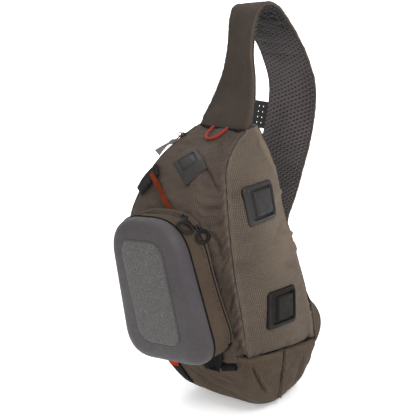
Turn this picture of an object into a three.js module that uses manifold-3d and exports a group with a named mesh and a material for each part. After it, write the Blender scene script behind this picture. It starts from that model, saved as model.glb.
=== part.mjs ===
import * as THREE from "three";
import { mergeVertices } from "three/addons/utils/BufferGeometryUtils.js";
import Module from "manifold-3d";

const wasm = await Module();
wasm.setup();

// A one-strap sling pack standing on its boot. Millimetres, +Z up, origin in the middle of the flat base.
// -Y is the front with the drop-front pocket, +X the side with two lash plates, +Y the back and the strap.

// Driving dimensions
const gap = 0.3;
const seatGap = 0.35;
const clothThick = 2;
const backPadThick = 8;
const bootThick = 2.5;
const seamStep = 0.003;
const bodyCells = { front: 10, right: 8, back: 4, left: 8 };
const bootRowCount = 4;
const panelRowCount = 14;
const seamLevel = 2;

const pocket = {
  centre: new THREE.Vector3(4, -122, 245),
  rollDegrees: 4,
  yawDegrees: 2,
  pitchDegrees: 2.5,
  height: 222,
  topHalf: 64,
  bottomHalf: 82,
  topRadius: 52,
  bottomRadius: 46,
  rearFlare: 3,
  rearDrop: 12,
  reach: 70,
  wall: 2,
  outlineCells: 28,
  zipWidth: 8,
  zipBulge: 0.7,
  hingeLine: -92,
  shellThick: 3,
};
const felt = {
  halfWidth: 40, halfHeight: 80, radius: 15, x: -1.5, lift: 3, sink: 1, proud: 0.3, deep: 60,
};
const strap = { coverShare: 0.56, layerGapShare: 0.08, liningInset: 4, liningFrom: 2, stepsPerRow: 2 };
const buckle = { width: 34, length: 28, thick: 4, slotWidth: 26, slot: 3.8, slotAt: 6, radius: 3, at: 3.35 };
const wing = { height: 74, proud: 13, sunk: 6, thick: 3, droop: 4, outX: 0.35, at: 2.42 };
const strapTab = {
  width: 70, height: 44, radius: 5, thick: 2.2, shift: -43, at: 11.05, lift: 0.35,
  columns: 2, rows: 4, pitch: 9, firstHole: -26, holeRadius: 1.5,
};
const strapKeeper = { width: 84, height: 34, radius: 3, thick: 1.6, shift: -6, at: 9.25, lift: 0.6 };
const lashPlate = {
  width: 65, height: 57, radius: 7, proud: 4, sunk: 5, bridge: 28, groove: 4.5, grooveDepth: 2.2,
};
const frontPlate = {
  width: 41, height: 50, radius: 5, proud: 3.2, sunk: 5, bridge: 20, groove: 3.6, grooveDepth: 1.8,
};
const cordRadius = 2.2;
const slider = { length: 11, width: 8, base: 2.4, bridge: 4.6, bridgeWidth: 3.4, bridgeLength: 7 };
const loopPull = { long: 13.5, short: 10, band: 3.6, thick: 2.6, tongue: 2.2, reach: 16 };
const mainZip = { halfWidth: 4.6, proud: 2.6, sunk: 1, from: 3.1, to: 8.7, steps: 10, sliderAt: 8.15 };
const hingeWeb = { from: { u: 0.22, v: 1.7 }, to: { u: 0.79, v: 2.3 }, thick: 2, cells: 5, rows: 2 };
const bootTrim = { from: { u: 0.06, v: 0.95 }, to: { u: 0.17, v: 1.95 }, thick: 1.8, cells: 2, rows: 4 };
const hingeTunnel = { lift: 3, halfHeight: 5, halfThick: 3.4 };

// Body sections from the base up to the strap root: half widths, edges, swell and corner radius.
const levelNames = [
  "xRight", "xLeft", "yFront", "zFront", "xBack", "xBackLeft", "yBack", "zBack",
  "swellFront", "swellSide", "swellBack", "round",
];
const bodyLevels = [
  [66, 64, -15, 0, 66, 64, 63, 0, 3, 2, 1, 34],
  [90, 86, -46, 36, 87, 84, 73, 26, 8, 6, 4, 26],
  [104, 100, -75, 128, 106, 102, 79, 84, 11, 8, 6, 0],
  [107, 102, -77, 190, 107, 102, 74, 165, 14, 9, 6, 0],
  [106, 100, -76, 258, 101, 97, 70, 240, 15, 9, 6, 0],
  [103, 96, -69, 317, 93, 88, 67, 305, 15, 9, 6, 0],
  [93, 75, -52, 366, 86, 78, 69, 358, 14, 8, 5, 0],
  [78, 55, -28, 402, 74, 67, 72, 394, 12, 6, 4, 0],
  [62, 45.5, 10, 419, 59, 54, 77, 411, 8, 4, 2, 0],
  [48, 43, 59, 428, 49, 46, 83, 427, 3, 1, 0, 0],
];
const topLevel = bodyLevels.length - 1;

// Strap centre line from the root, over the shoulder and down behind the back.
// Each row: x, y, z, half width, half thickness, twist in degrees and lean of the width.
const strapRows = [
  [0, 60, 412, 46, 11, 0, 0],
  [0, 76, 432, 46, 10, 0, 0],
  [0, 94, 456, 40, 6.2, 0, 0],
  [0, 113, 488, 33, 5.2, 4, 0],
  [0, 126, 524, 29, 5.2, 12, 0.02],
  [0, 142, 560, 30, 5.2, 10, 0.07],
  [-1, 162, 576, 33, 5.2, 5, 0.11],
  [-2, 187, 568, 38, 5.2, 2, 0.09],
  [-4, 211, 531, 42, 5.2, 0, 0.03],
  [-4, 230, 485, 44, 5.2, 0, 0],
  [-5, 242, 434, 45, 5.2, 0, 0],
  [-8, 231.5, 384, 45, 5.2, 0, 0],
  [-6, 205, 336, 42, 5.2, 0, 0],
  [-2, 172, 288, 36, 5.2, 0, 0],
  [4, 142, 250, 28, 4.6, 0, 0],
  [21, 121, 223, 18, 4, 0, 0],
];

const colours = {
  sideCloth: 0x70655a,
  frontCloth: 0x5c5249,
  strapCloth: 0x504840,
  mesh: 0x5f5858,
  shell: 0x585358,
  felt: 0x6e6c69,
  black: 0x1d1c1b,
  zip: 0x2f2a27,
  plate: 0x464442,
  pull: 0x4a4a48,
  orange: 0xaa4b1e,
  cord: 0xc83c1e,
  red: 0xd8331c,
  greyTab: 0x55524f,
};

const pack = new THREE.Group();

function addPiece(name, geometry, colour, roughness = 0.85, metalness = 0) {
  const material = new THREE.MeshStandardMaterial({ color: colour, roughness, metalness });
  const mesh = new THREE.Mesh(geometry, material);
  mesh.name = name;
  pack.add(mesh);
}

function vec(x, y, z) {
  return new THREE.Vector3(x, y, z);
}

function range(count) {
  return Array.from({ length: count }, (_, i) => i);
}

// Smooth values between the rows of a table, with slopes taken from the neighbouring rows.
function smoothRow(rows, at) {
  const last = rows.length - 1;
  const i = Math.min(Math.floor(at), last - 1);
  const t = at - i;
  const slope = (k, c) => {
    const before = Math.max(k - 1, 0);
    const after = Math.min(k + 1, last);
    return (rows[after][c] - rows[before][c]) / (after - before);
  };
  const t2 = t * t;
  const t3 = t2 * t;
  return rows[i].map((start, c) => {
    const end = rows[i + 1][c];
    const ease = (3 * t2 - 2 * t3) * (end - start);
    return start + ease + (t3 - 2 * t2 + t) * slope(i, c) + (t3 - t2) * slope(i + 1, c);
  });
}

// Solids from points and faces

function solid(points, faces) {
  const geometry = new THREE.BufferGeometry();
  const flat = points.flatMap((p) => [p.x, p.y, p.z]);
  geometry.setAttribute("position", new THREE.Float32BufferAttribute(flat, 3));
  geometry.setIndex(faces.flat());
  return geometry;
}

function ringFaces(rings, closed) {
  const cells = rings[0].length;
  const spans = closed ? rings.length : rings.length - 1;
  const faces = [];
  for (let r = 0; r < spans; r += 1) {
    const low = r * cells;
    const high = ((r + 1) % rings.length) * cells;
    for (let c = 0; c < cells; c += 1) {
      const d = (c + 1) % cells;
      faces.push([low + c, low + d, high + d], [low + c, high + d, high + c]);
    }
  }
  return faces;
}

// A closed solid through rings that run counterclockwise about the direction of travel.
function loft(rings) {
  const cells = rings[0].length;
  const points = rings.flat();
  const faces = ringFaces(rings, false);
  const middle = (ring) => ring.reduce((sum, p) => sum.add(p), vec(0, 0, 0)).divideScalar(cells);
  const first = points.push(middle(rings[0])) - 1;
  const last = points.push(middle(rings[rings.length - 1])) - 1;
  const lastRing = (rings.length - 1) * cells;
  for (let c = 0; c < cells; c += 1) {
    const d = (c + 1) % cells;
    faces.push([first, d, c], [last, lastRing + c, lastRing + d]);
  }
  return solid(points, faces);
}

// A wall with no ends: the rings run up the outside and back down the inside.
function loftLoop(rings) {
  return solid(rings.flat(), ringFaces(rings, true));
}

// A curved slab between an outer and an inner grid of points.
function slab(outer, inner) {
  const rings = outer.map((row, r) => [...row, ...[...inner[r]].reverse()]);
  const cells = rings[0].length;
  const half = outer[0].length;
  const top = (rings.length - 1) * cells;
  const faces = ringFaces(rings, false);
  for (let c = 0; c < half - 1; c += 1) {
    const a = c;
    const b = c + 1;
    const e = cells - 1 - b;
    const f = cells - 1 - a;
    faces.push([a, e, b], [a, f, e], [top + a, top + b, top + e], [top + a, top + e, top + f]);
  }
  return solid(rings.flat(), faces);
}

function toManifold(geometry) {
  const bare = geometry.clone();
  bare.deleteAttribute("normal");
  bare.deleteAttribute("uv");
  const merged = mergeVertices(bare, 1e-4);
  const vertProperties = new Float32Array(merged.attributes.position.array);
  const triVerts = new Uint32Array(merged.index.array);
  return new wasm.Manifold(new wasm.Mesh({ numProp: 3, vertProperties, triVerts }));
}

function fromManifold(body) {
  const mesh = body.getMesh();
  const geometry = new THREE.BufferGeometry();
  geometry.setAttribute("position", new THREE.Float32BufferAttribute(mesh.vertProperties, 3));
  geometry.setIndex(Array.from(mesh.triVerts));
  return geometry;
}

function cut(geometry, ...tools) {
  return fromManifold(tools.reduce((body, tool) => body.subtract(toManifold(tool)), toManifold(geometry)));
}

function common(geometry, tool) {
  return fromManifold(toManifold(geometry).intersect(toManifold(tool)));
}

// Main body surface: u runs 0..4 round the front, right, back and left, v runs up the levels.

function bodyLevel(v) {
  const values = smoothRow(bodyLevels, v);
  return Object.fromEntries(levelNames.map((name, i) => [name, values[i]]));
}

function levelCorners(level) {
  return [
    vec(-level.xLeft, level.yFront, level.zFront),
    vec(level.xRight, level.yFront, level.zFront),
    vec(level.xBack, level.yBack, level.zBack),
    vec(-level.xBackLeft, level.yBack, level.zBack),
  ];
}

const sideOut = [vec(0, -1, 0), vec(1, 0, 0), vec(0, 1, 0), vec(-1, 0, 0)];

function sidePoint(level, corners, side, t) {
  const k = (side + 4) % 4;
  const swell = [level.swellFront, level.swellSide, level.swellBack, level.swellSide][k];
  const point = corners[k].clone().lerp(corners[(k + 1) % 4], t);
  return point.addScaledVector(sideOut[k], 4 * swell * t * (1 - t));
}

function bodyPoint(u, v) {
  const level = bodyLevel(v);
  const corners = levelCorners(level);
  const side = Math.min(Math.floor(u), 3);
  const t = u - side;
  const length = (k) => corners[(k + 4) % 4].distanceTo(corners[(k + 5) % 4]);
  const nearStart = t <= 0.5;
  const reach = level.round / length(side);
  const along = nearStart ? t : 1 - t;
  if (along >= reach || level.round < 0.5) {
    return sidePoint(level, corners, side, t);
  }
  const before = nearStart ? side - 1 : side;
  const w = nearStart ? 0.5 + (0.5 * along) / reach : 0.5 - (0.5 * along) / reach;
  const from = sidePoint(level, corners, before, 1 - level.round / length(before));
  const to = sidePoint(level, corners, before + 1, level.round / length(before + 1));
  const corner = corners[(before + 5) % 4];
  const curve = new THREE.QuadraticBezierCurve3(from, corner, to);
  return curve.getPoint(w);
}

const probe = 0.004;

function sideTangent(side, t, v) {
  const a = bodyPoint(side + Math.max(t - probe, 0), v);
  const b = bodyPoint(side + Math.min(t + probe, 1 - 1e-7), v);
  return b.sub(a).normalize();
}

function sideNormal(side, t, v) {
  const at = side + Math.min(t, 1 - 1e-7);
  const up = bodyPoint(at, Math.min(v + probe, topLevel)).sub(bodyPoint(at, Math.max(v - probe, 0)));
  return sideTangent(side, t, v).cross(up).normalize();
}

// Direction out of the surface. At a seam it points along the mitre and is longer than one.
function outward(side, t, v) {
  const here = sideNormal(side, t, v);
  if (t > 0 && t < 1) {
    return here;
  }
  const other = t === 0 ? sideNormal((side + 3) % 4, 1, v) : sideNormal((side + 1) % 4, 0, v);
  const mitre = here.clone().add(other).normalize();
  return mitre.multiplyScalar(1 / mitre.dot(here));
}

function surfacePoint(u, v, lift) {
  const side = Math.min(Math.floor(u), 3);
  return bodyPoint(u, v).addScaledVector(outward(side, u - side, v), lift);
}

// The surface place of a point on the front, from its real x and height.
function frontPlace(x, z) {
  let low = 0;
  let high = topLevel;
  for (let i = 0; i < 40; i += 1) {
    const mid = (low + high) / 2;
    if (bodyLevel(mid).zFront < z) low = mid;
    else high = mid;
  }
  const level = bodyLevel(low);
  return { u: (x + level.xLeft) / (level.xLeft + level.xRight), v: low };
}

function bodyRing(v, lift) {
  const cells = [bodyCells.front, bodyCells.right, bodyCells.back, bodyCells.left];
  return cells.flatMap((count, side) => range(count).map((c) => surfacePoint(side + c / count, v, lift)));
}

const bootLevels = range(bootRowCount + 1).map((r) => (seamLevel - seamStep) * (r / bootRowCount));
const panelSpan = topLevel - seamLevel - seamStep;
const panelStart = seamLevel + seamStep;
const panelLevels = range(panelRowCount + 1).map((r) => panelStart + panelSpan * (r / panelRowCount));

// The whole bag as one block, a little larger than the walls, which trims what is sewn onto it.
function bagBlock(lift) {
  const rings = [...bootLevels, ...panelLevels].map((v) => bodyRing(v, lift));
  const lid = rings[rings.length - 1].map((p) => p.clone().setZ(p.z + lift));
  return loft([...rings, lid]);
}

const bagFit = bagBlock(seatGap);

// Sewn walls

function wallPanel(side, cells, thick) {
  const outer = [];
  const inner = [];
  const rim = bodyPoint(side + 0.5, topLevel);
  for (const v of panelLevels) {
    const outerRow = [];
    const innerRow = [];
    for (let c = 0; c <= cells; c += 1) {
      const t = c / cells;
      const edge = c === 0 ? gap : c === cells ? -gap : 0;
      const point = bodyPoint(side + Math.min(t, 1 - 1e-7), v);
      point.addScaledVector(sideTangent(side, t, v), edge);
      outerRow.push(point);
      const inside = point.clone().addScaledVector(outward(side, t, v), -thick);
      inside.z = Math.min(inside.z, rim.z);
      innerRow.push(inside);
    }
    outer.push(outerRow);
    inner.push(innerRow);
  }
  return slab(outer, inner);
}

addPiece("front_panel", wallPanel(0, bodyCells.front, clothThick), colours.frontCloth);
addPiece("right_side_panel", wallPanel(1, bodyCells.right, clothThick), colours.sideCloth);
addPiece("back_panel", wallPanel(2, bodyCells.back, backPadThick), colours.mesh);
addPiece("left_side_panel", wallPanel(3, bodyCells.left, clothThick), colours.sideCloth);

// The boot is a bowl with a flat base.
function bootBowl() {
  const outer = bootLevels.map((v) => bodyRing(v, 0));
  const inner = bootLevels.map((v) => bodyRing(v, -bootThick));
  for (const ring of inner) {
    for (const point of ring) {
      point.z = Math.max(point.z, bootThick);
    }
  }
  return loft([...outer, ...inner.reverse()]);
}

addPiece("boot", bootBowl(), colours.sideCloth);

// Flat and padded strips: rows give the centre, half width, half thickness and the direction of the width.

function stripFrame(rows, at) {
  const values = smoothRow(rows, at);
  const ahead = smoothRow(rows, Math.min(at + probe, rows.length - 1));
  const behind = smoothRow(rows, Math.max(at - probe, 0));
  const travel = vec(ahead[0] - behind[0], ahead[1] - behind[1], ahead[2] - behind[2]).normalize();
  const across = vec(values[5], values[6], values[7]);
  across.addScaledVector(travel, -across.dot(travel)).normalize();
  return {
    centre: vec(values[0], values[1], values[2]),
    halfWidth: values[3],
    halfThick: values[4],
    travel,
    across,
    face: travel.clone().cross(across),
  };
}

// One layer of a strip lies between two shares of its half thickness, narrower by an inset on each edge.
const wholeStrip = { low: -1, high: 1, inset: 0 };

function stripRing(frame, sides, squareness, layer) {
  const bend = (value) => Math.sign(value) * Math.abs(value) ** squareness;
  const middle = (layer.low + layer.high) / 2;
  const half = (layer.high - layer.low) / 2;
  return range(sides).map((k) => {
    const angle = ((k + 0.5) / sides) * Math.PI * 2;
    const wide = bend(Math.cos(angle)) * (frame.halfWidth - layer.inset);
    const thick = (middle + bend(Math.sin(angle)) * half) * frame.halfThick;
    return frame.centre.clone().addScaledVector(frame.across, wide).addScaledVector(frame.face, thick);
  });
}

function strip(rows, stepsPerRow, options = {}) {
  const { sides = 8, squareness = 0.35, from = 0, to = rows.length - 1, layer = wholeStrip } = options;
  const steps = Math.round((to - from) * stepsPerRow);
  const stations = range(steps + 1).map((i) => from + i / stepsPerRow);
  return loft(stations.map((at) => stripRing(stripFrame(rows, at), sides, squareness, layer)));
}

// Shoulder strap: a foam-filled cover with a spacer-mesh lining on the wearer's side.

const strapCentre = strapRows.map(([x, y, z, halfWidth, halfThick, twist, lean]) => {
  const turn = THREE.MathUtils.degToRad(twist);
  return [x, y, z, halfWidth, halfThick, Math.cos(turn), -Math.sin(turn), lean];
});

const strapEnd = strapRows.length - 1;
const coverLook = { sides: 10, squareness: 0.5 };
const coverLayer = { low: -1, high: strap.coverShare, inset: 0 };
const clearLayer = { low: -1, high: strap.coverShare + strap.layerGapShare, inset: 0 };
const liningLayer = { low: 0, high: 1, inset: strap.liningInset };
const strapCover = strip(strapCentre, strap.stepsPerRow, { ...coverLook, layer: coverLayer });
const strapClear = strip(strapCentre, strap.stepsPerRow, { ...coverLook, layer: clearLayer });
const strapLining = strip(strapCentre, strap.stepsPerRow, {
  from: strap.liningFrom,
  to: strapEnd - 1 / strap.stepsPerRow,
  layer: liningLayer,
});
addPiece("shoulder_strap", cut(strapCover, bagFit), colours.strapCloth);
addPiece("strap_lining", cut(strapLining, strapClear), colours.mesh);

// Lower end of the strap: webbing through a ladder lock, sewn to a folded wing at the right back corner.

const webbingRows = [
  [109, 88.5, 114, 12.5, 0.8, 0.64, 0, 0.77],
  [86, 91.5, 138, 12.5, 0.8, 0.7, 0, 0.72],
  [64, 98, 176, 12.5, 0.8, 0.76, 0, 0.66],
  [40, 108, 203, 12.5, 0.8, 0.8, 0, 0.6],
  [18, 124, 227, 12.5, 0.8, 0.82, 0, 0.58],
];

function roundedRect(width, height, radius) {
  const x = width / 2;
  const y = height / 2;
  const shape = new THREE.Shape();
  shape.moveTo(-x + radius, -y);
  shape.lineTo(x - radius, -y);
  shape.absarc(x - radius, -y + radius, radius, -Math.PI / 2, 0);
  shape.lineTo(x, y - radius);
  shape.absarc(x - radius, y - radius, radius, 0, Math.PI / 2);
  shape.lineTo(-x + radius, y);
  shape.absarc(-x + radius, y - radius, radius, Math.PI / 2, Math.PI);
  shape.lineTo(-x, -y + radius);
  shape.absarc(-x + radius, -y + radius, radius, Math.PI, Math.PI * 1.5);
  return shape;
}

function slotPath(width, height, x, y) {
  const path = new THREE.Path();
  path.moveTo(x - width / 2, y - height / 2);
  path.lineTo(x - width / 2, y + height / 2);
  path.lineTo(x + width / 2, y + height / 2);
  path.lineTo(x + width / 2, y - height / 2);
  return path;
}

function extrude(shape, depth, from = 0, curveSegments = 2) {
  const geometry = new THREE.ExtrudeGeometry(shape, { depth, bevelEnabled: false, curveSegments });
  return geometry.translate(0, 0, from);
}

// A turned frame: local x along right, local z along out.
function frameAt(origin, right, out) {
  const z = out.clone().normalize();
  const x = right.clone().addScaledVector(z, -right.dot(z)).normalize();
  const y = z.clone().cross(x);
  return new THREE.Matrix4().makeBasis(x, y, z).setPosition(origin);
}

// The wing is a lobe that stands out of the right back seam, with the webbing sewn to its inner face.
const wingFrame = frameAt(bodyPoint(2, wing.at), vec(wing.outX, 1, 0), vec(1, -wing.outX, 0));

function wingLobe() {
  const half = wing.height / 2;
  const outline = new THREE.Shape();
  outline.moveTo(-wing.sunk, -half);
  outline.quadraticCurveTo(wing.proud * 2, -wing.droop, -wing.sunk, half);
  return extrude(outline, wing.thick, -wing.thick / 2, 5).applyMatrix4(wingFrame);
}

// A large block that fills one side of a turned frame, from a height along its local z.
function sideBlock(matrix, from) {
  const size = 2 * wing.height;
  const block = new THREE.BoxGeometry(size, size, size);
  return block.translate(0, 0, size / 2 + from).applyMatrix4(matrix);
}

addPiece("strap_wing", cut(wingLobe(), bagFit), colours.strapCloth);
const padEnd = stripFrame(strapCentre, strapEnd);
const padEndFrame = frameAt(padEnd.centre, padEnd.across, padEnd.travel.clone().negate());
const beyondWing = sideBlock(wingFrame, -wing.thick / 2 - gap);
const beyondPad = sideBlock(padEndFrame, -gap);
addPiece("strap_webbing", cut(strip(webbingRows, 3), beyondWing, beyondPad, bagFit), colours.black);

function ladderLock() {
  const outline = roundedRect(buckle.width, buckle.length, buckle.radius);
  outline.holes.push(slotPath(buckle.slotWidth, buckle.slot, 0, buckle.slotAt));
  outline.holes.push(slotPath(buckle.slotWidth, buckle.slot, 0, -buckle.slotAt));
  const frame = stripFrame(webbingRows, buckle.at);
  const seat = frame.centre.addScaledVector(frame.face, -frame.halfThick - gap);
  return extrude(outline, buckle.thick).applyMatrix4(frameAt(seat, frame.across, frame.face.negate()));
}

addPiece("ladder_lock", ladderLock(), colours.black, 0.5);

// Plates on the outer face of the strap: a perforated tab that reaches past the edge, and a webbing keeper.

function strapFrame(at, lift) {
  const frame = stripFrame(strapCentre, at);
  const seat = frame.centre.clone().addScaledVector(frame.face, -frame.halfThick - lift);
  return frameAt(seat, frame.across, frame.face.negate());
}

function perforatedTab() {
  const outline = roundedRect(strapTab.width, strapTab.height, strapTab.radius);
  for (const column of range(strapTab.columns)) {
    for (const row of range(strapTab.rows)) {
      const hole = new THREE.Path();
      const x = strapTab.firstHole + column * strapTab.pitch;
      const y = (row - (strapTab.rows - 1) / 2) * strapTab.pitch;
      hole.absarc(x, y, strapTab.holeRadius, 0, Math.PI * 2, true);
      outline.holes.push(hole);
    }
  }
  const plate = extrude(outline, strapTab.thick, 0, 3);
  return plate.translate(strapTab.shift, 0, 0).applyMatrix4(strapFrame(strapTab.at, strapTab.lift));
}

addPiece("strap_tab", perforatedTab(), colours.black, 0.7);

const keeperShape = roundedRect(strapKeeper.width, strapKeeper.height, strapKeeper.radius);
const keeper = extrude(keeperShape, strapKeeper.thick).translate(strapKeeper.shift, 0, 0);
keeper.applyMatrix4(strapFrame(strapKeeper.at, strapKeeper.lift));
addPiece("strap_keeper", keeper, colours.greyTab);

// Drop-front pocket: a cloth gusset, a zip round its rear edge, a hinge below and a moulded shell in front.
// Local axes: x to the right, y up, z out of the front.

function pocketMatrix() {
  const yaw = THREE.MathUtils.degToRad(pocket.yawDegrees);
  const roll = THREE.MathUtils.degToRad(pocket.rollDegrees);
  const pitch = THREE.MathUtils.degToRad(pocket.pitchDegrees);
  const out = vec(Math.sin(yaw), -Math.cos(yaw), Math.sin(pitch)).normalize();
  const right = vec(Math.cos(yaw), Math.sin(yaw), 0).applyAxisAngle(out, roll);
  return frameAt(pocket.centre, right, out);
}

const pocketFrame = pocketMatrix();

function pocketShape() {
  const half = pocket.height / 2;
  const corners = [
    [pocket.bottomHalf, -half, pocket.bottomRadius],
    [pocket.topHalf, half, pocket.topRadius],
    [-pocket.topHalf, half, pocket.topRadius],
    [-pocket.bottomHalf, -half, pocket.bottomRadius],
  ];
  const shape = new THREE.Shape();
  shape.moveTo(0, -half);
  corners.forEach(([x, y, radius], i) => {
    const here = new THREE.Vector2(x, y);
    const before = new THREE.Vector2(...(corners[i - 1] ?? [0, -half]).slice(0, 2));
    const after = new THREE.Vector2(...(corners[i + 1] ?? [0, -half]).slice(0, 2));
    const start = here.clone().addScaledVector(before.sub(here).normalize(), radius);
    const end = here.clone().addScaledVector(after.sub(here).normalize(), radius);
    shape.lineTo(start.x, start.y);
    shape.quadraticCurveTo(x, y, end.x, end.y);
  });
  shape.lineTo(0, -half);
  return shape;
}

const pocketPath = pocketShape();
const outlinePoints = pocketPath.getSpacedPoints(pocket.outlineCells).slice(0, pocket.outlineCells);

function outlineOut(i) {
  const count = outlinePoints.length;
  const along = outlinePoints[(i + 1) % count].clone().sub(outlinePoints[(i + count - 1) % count]);
  return new THREE.Vector2(along.y, -along.x).normalize();
}

// A ring of the pocket, grown by some millimetres or drawn towards its middle, at one depth.
// Behind the front rim the ring widens a little and its top comes down.
function pocketRing(depth, grow, share = 1) {
  const back = Math.max(-depth, 0) / pocket.reach;
  return outlinePoints.map((p, i) => {
    const moved = p.clone().addScaledVector(outlineOut(i), grow + pocket.rearFlare * back);
    moved.y -= pocket.rearDrop * back * Math.max(p.y / (pocket.height / 2), 0);
    moved.multiplyScalar(share);
    return vec(moved.x, moved.y, depth);
  });
}

function pocketTube(grow, wall) {
  const rings = [
    pocketRing(-pocket.reach, grow),
    pocketRing(0, grow),
    pocketRing(0, grow - wall),
    pocketRing(-pocket.reach, grow - wall),
  ];
  return loftLoop(rings).applyMatrix4(pocketFrame);
}

const zipOuter = bagBlock(pocket.zipWidth);
const zipClear = bagBlock(pocket.zipWidth + gap);
addPiece("pocket_gusset", cut(pocketTube(0, pocket.wall), zipClear), colours.sideCloth);

const zipBand = cut(common(pocketTube(pocket.zipBulge, pocket.wall + pocket.zipBulge), zipOuter), bagFit);

function belowHinge(drop) {
  const deep = 4 * pocket.reach;
  const block = new THREE.BoxGeometry(4 * pocket.bottomHalf, pocket.height, deep);
  return block.translate(0, pocket.hingeLine - drop - pocket.height / 2, 0).applyMatrix4(pocketFrame);
}

addPiece("pocket_zip", cut(zipBand, belowHinge(0)), colours.zip, 0.7);
addPiece("pocket_hinge", common(zipBand, belowHinge(gap)), colours.black);

// The shell is a shallow moulded dome: share of the outline and height of each ring.
const domeRings = [[1, 0.35], [1, 7], [0.98, 14], [0.93, 19.5], [0.83, 23], [0.45, 25.4]];

function domeSolid(lift) {
  const base = pocketRing(-pocket.shellThick, lift);
  const rings = domeRings.map(([share, height]) => pocketRing(height + lift, lift, share));
  return loft([base, ...rings]).applyMatrix4(pocketFrame);
}

function shellCup() {
  const outer = domeRings.map(([share, height]) => pocketRing(height, 0, share));
  const inner = domeRings.filter((_, i) => i % 2 === 0).map(([share, height], i) => {
    const depth = i === 0 ? height : height - pocket.shellThick;
    return pocketRing(depth, -pocket.shellThick, share);
  });
  return loft([...inner.reverse(), ...outer]).applyMatrix4(pocketFrame);
}

function feltPrism(grow) {
  const outline = roundedRect(2 * (felt.halfWidth + grow), 2 * (felt.halfHeight + grow), felt.radius);
  return extrude(outline, felt.deep).translate(felt.x, felt.lift, 0).applyMatrix4(pocketFrame);
}

const feltSeat = cut(feltPrism(gap), domeSolid(-felt.sink - gap));
addPiece("pocket_shell", cut(shellCup(), feltSeat), colours.shell, 0.6);
const feltBlock = common(feltPrism(0), domeSolid(felt.proud));
addPiece("felt_panel", cut(feltBlock, domeSolid(-felt.sink)), colours.felt, 0.95);

// Pocket zip sliders and their oval loop pulls

function sliderBody() {
  const base = extrude(roundedRect(slider.length, slider.width, 2), slider.base);
  const bridge = extrude(roundedRect(slider.bridgeLength, slider.bridgeWidth, 1.2), slider.bridge);
  return fromManifold(toManifold(base).add(toManifold(bridge)));
}

// A place on the outside of the zip band, from a share of the pocket outline and a distance forward.
function zipPlace(share, forward) {
  const point = pocketPath.getPointAt(share);
  const along = pocketPath.getTangentAt(share);
  const out = new THREE.Vector2(along.y, -along.x);
  const rim = vec(point.x, point.y, 0).applyMatrix4(pocketFrame);
  const panel = frontPlace(rim.x, rim.z);
  const depth = rim.y - bodyPoint(panel.u, panel.v).y + forward;
  const back = -depth / pocket.reach;
  const drop = pocket.rearDrop * back * Math.max(point.y / (pocket.height / 2), 0);
  const lift = pocket.rearFlare * back + pocket.zipBulge + seatGap;
  const seat = vec(point.x + out.x * lift, point.y + out.y * lift - drop, depth);
  return {
    seat: seat.applyMatrix4(pocketFrame),
    out: vec(out.x, out.y, 0).transformDirection(pocketFrame),
    along: vec(along.x, along.y, 0).transformDirection(pocketFrame),
  };
}

function loopPullSolid(place, towards) {
  const outline = new THREE.Shape();
  outline.absellipse(0, 0, loopPull.short, loopPull.long, 0, Math.PI * 2);
  const hole = new THREE.Path();
  const band = loopPull.band;
  hole.absellipse(0, 0, loopPull.short - band, loopPull.long - band, 0, Math.PI * 2, true);
  outline.holes.push(hole);
  const ring = extrude(outline, loopPull.thick, 0, 5);
  const tongue = extrude(roundedRect(loopPull.reach / 2, 2 * loopPull.tongue, 1), loopPull.thick);
  tongue.translate(loopPull.short - band / 2 + loopPull.reach / 4, 0, 0);
  const whole = fromManifold(toManifold(ring).add(toManifold(tongue)));
  return whole.applyMatrix4(frameAt(place.seat, towards, place.out));
}

const pocketSliders = [
  { name: "left", share: 0.445, forward: 8, hang: 0.013, reach: 16 },
  { name: "right", share: 0.403, forward: 8, hang: 0.026, reach: 6 },
];
for (const { name, share, forward, hang, reach } of pocketSliders) {
  const place = zipPlace(share, forward);
  const body = cut(sliderBody().applyMatrix4(frameAt(place.seat, place.along, place.out)), bagFit);
  addPiece(`pocket_slider_${name}`, body, colours.zip, 0.5, 0.4);
  const hung = zipPlace(share - hang, forward + reach);
  const pull = loopPullSolid(hung, place.seat.clone().sub(hung.seat));
  addPiece(`pocket_pull_${name}`, cut(pull, body, bagFit), colours.pull, 0.75);
}

// Moulded lash plates: a rounded frame with a raised bridge inside a sunk groove.

function lashPlateSolid(plate, u, v, turnDegrees) {
  const side = Math.floor(u);
  const out = outward(side, u - side, v);
  const turn = THREE.MathUtils.degToRad(turnDegrees);
  const right = sideTangent(side, u - side, v).applyAxisAngle(out, turn);
  const matrix = frameAt(bodyPoint(u, v), right, out);
  const depth = plate.proud + plate.sunk;
  const block = extrude(roundedRect(plate.width, plate.height, plate.radius), depth, -plate.sunk);
  const sunk = roundedRect(plate.bridge + 2 * plate.groove, plate.bridge + 3 * plate.groove, 3);
  const bridge = roundedRect(plate.bridge, plate.bridge, 2);
  sunk.holes.push(new THREE.Path(bridge.getPoints(2).reverse()));
  const groove = extrude(sunk, plate.proud, plate.proud - plate.grooveDepth);
  return cut(cut(block, groove).applyMatrix4(matrix), bagFit);
}

addPiece("lash_plate_upper", lashPlateSolid(lashPlate, 1.5, 5.58, -5.5), colours.plate, 0.55);
addPiece("lash_plate_lower", lashPlateSolid(lashPlate, 1.51, 3.02, -4), colours.plate, 0.55);
addPiece("lash_plate_front", lashPlateSolid(frontPlate, 0.556, 7.12, 52), colours.plate, 0.6);

// Strips that lie on the front: places are x and height, with half width, half thickness and lift.

function frontStripRows(rows) {
  return rows.map(([x, z, halfWidth, halfThick, lift], i) => {
    const here = frontPlace(x, z);
    const next = rows[Math.min(i + 1, rows.length - 1)];
    const last = rows[Math.max(i - 1, 0)];
    const ahead = frontPlace(next[0], next[1]);
    const behind = frontPlace(last[0], last[1]);
    const travel = bodyPoint(ahead.u, ahead.v).sub(bodyPoint(behind.u, behind.v)).normalize();
    const across = outward(0, here.u, here.v).cross(travel);
    const centre = surfacePoint(here.u, here.v, lift);
    return [centre.x, centre.y, centre.z, halfWidth, halfThick, across.x, across.y, across.z];
  });
}

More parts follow.
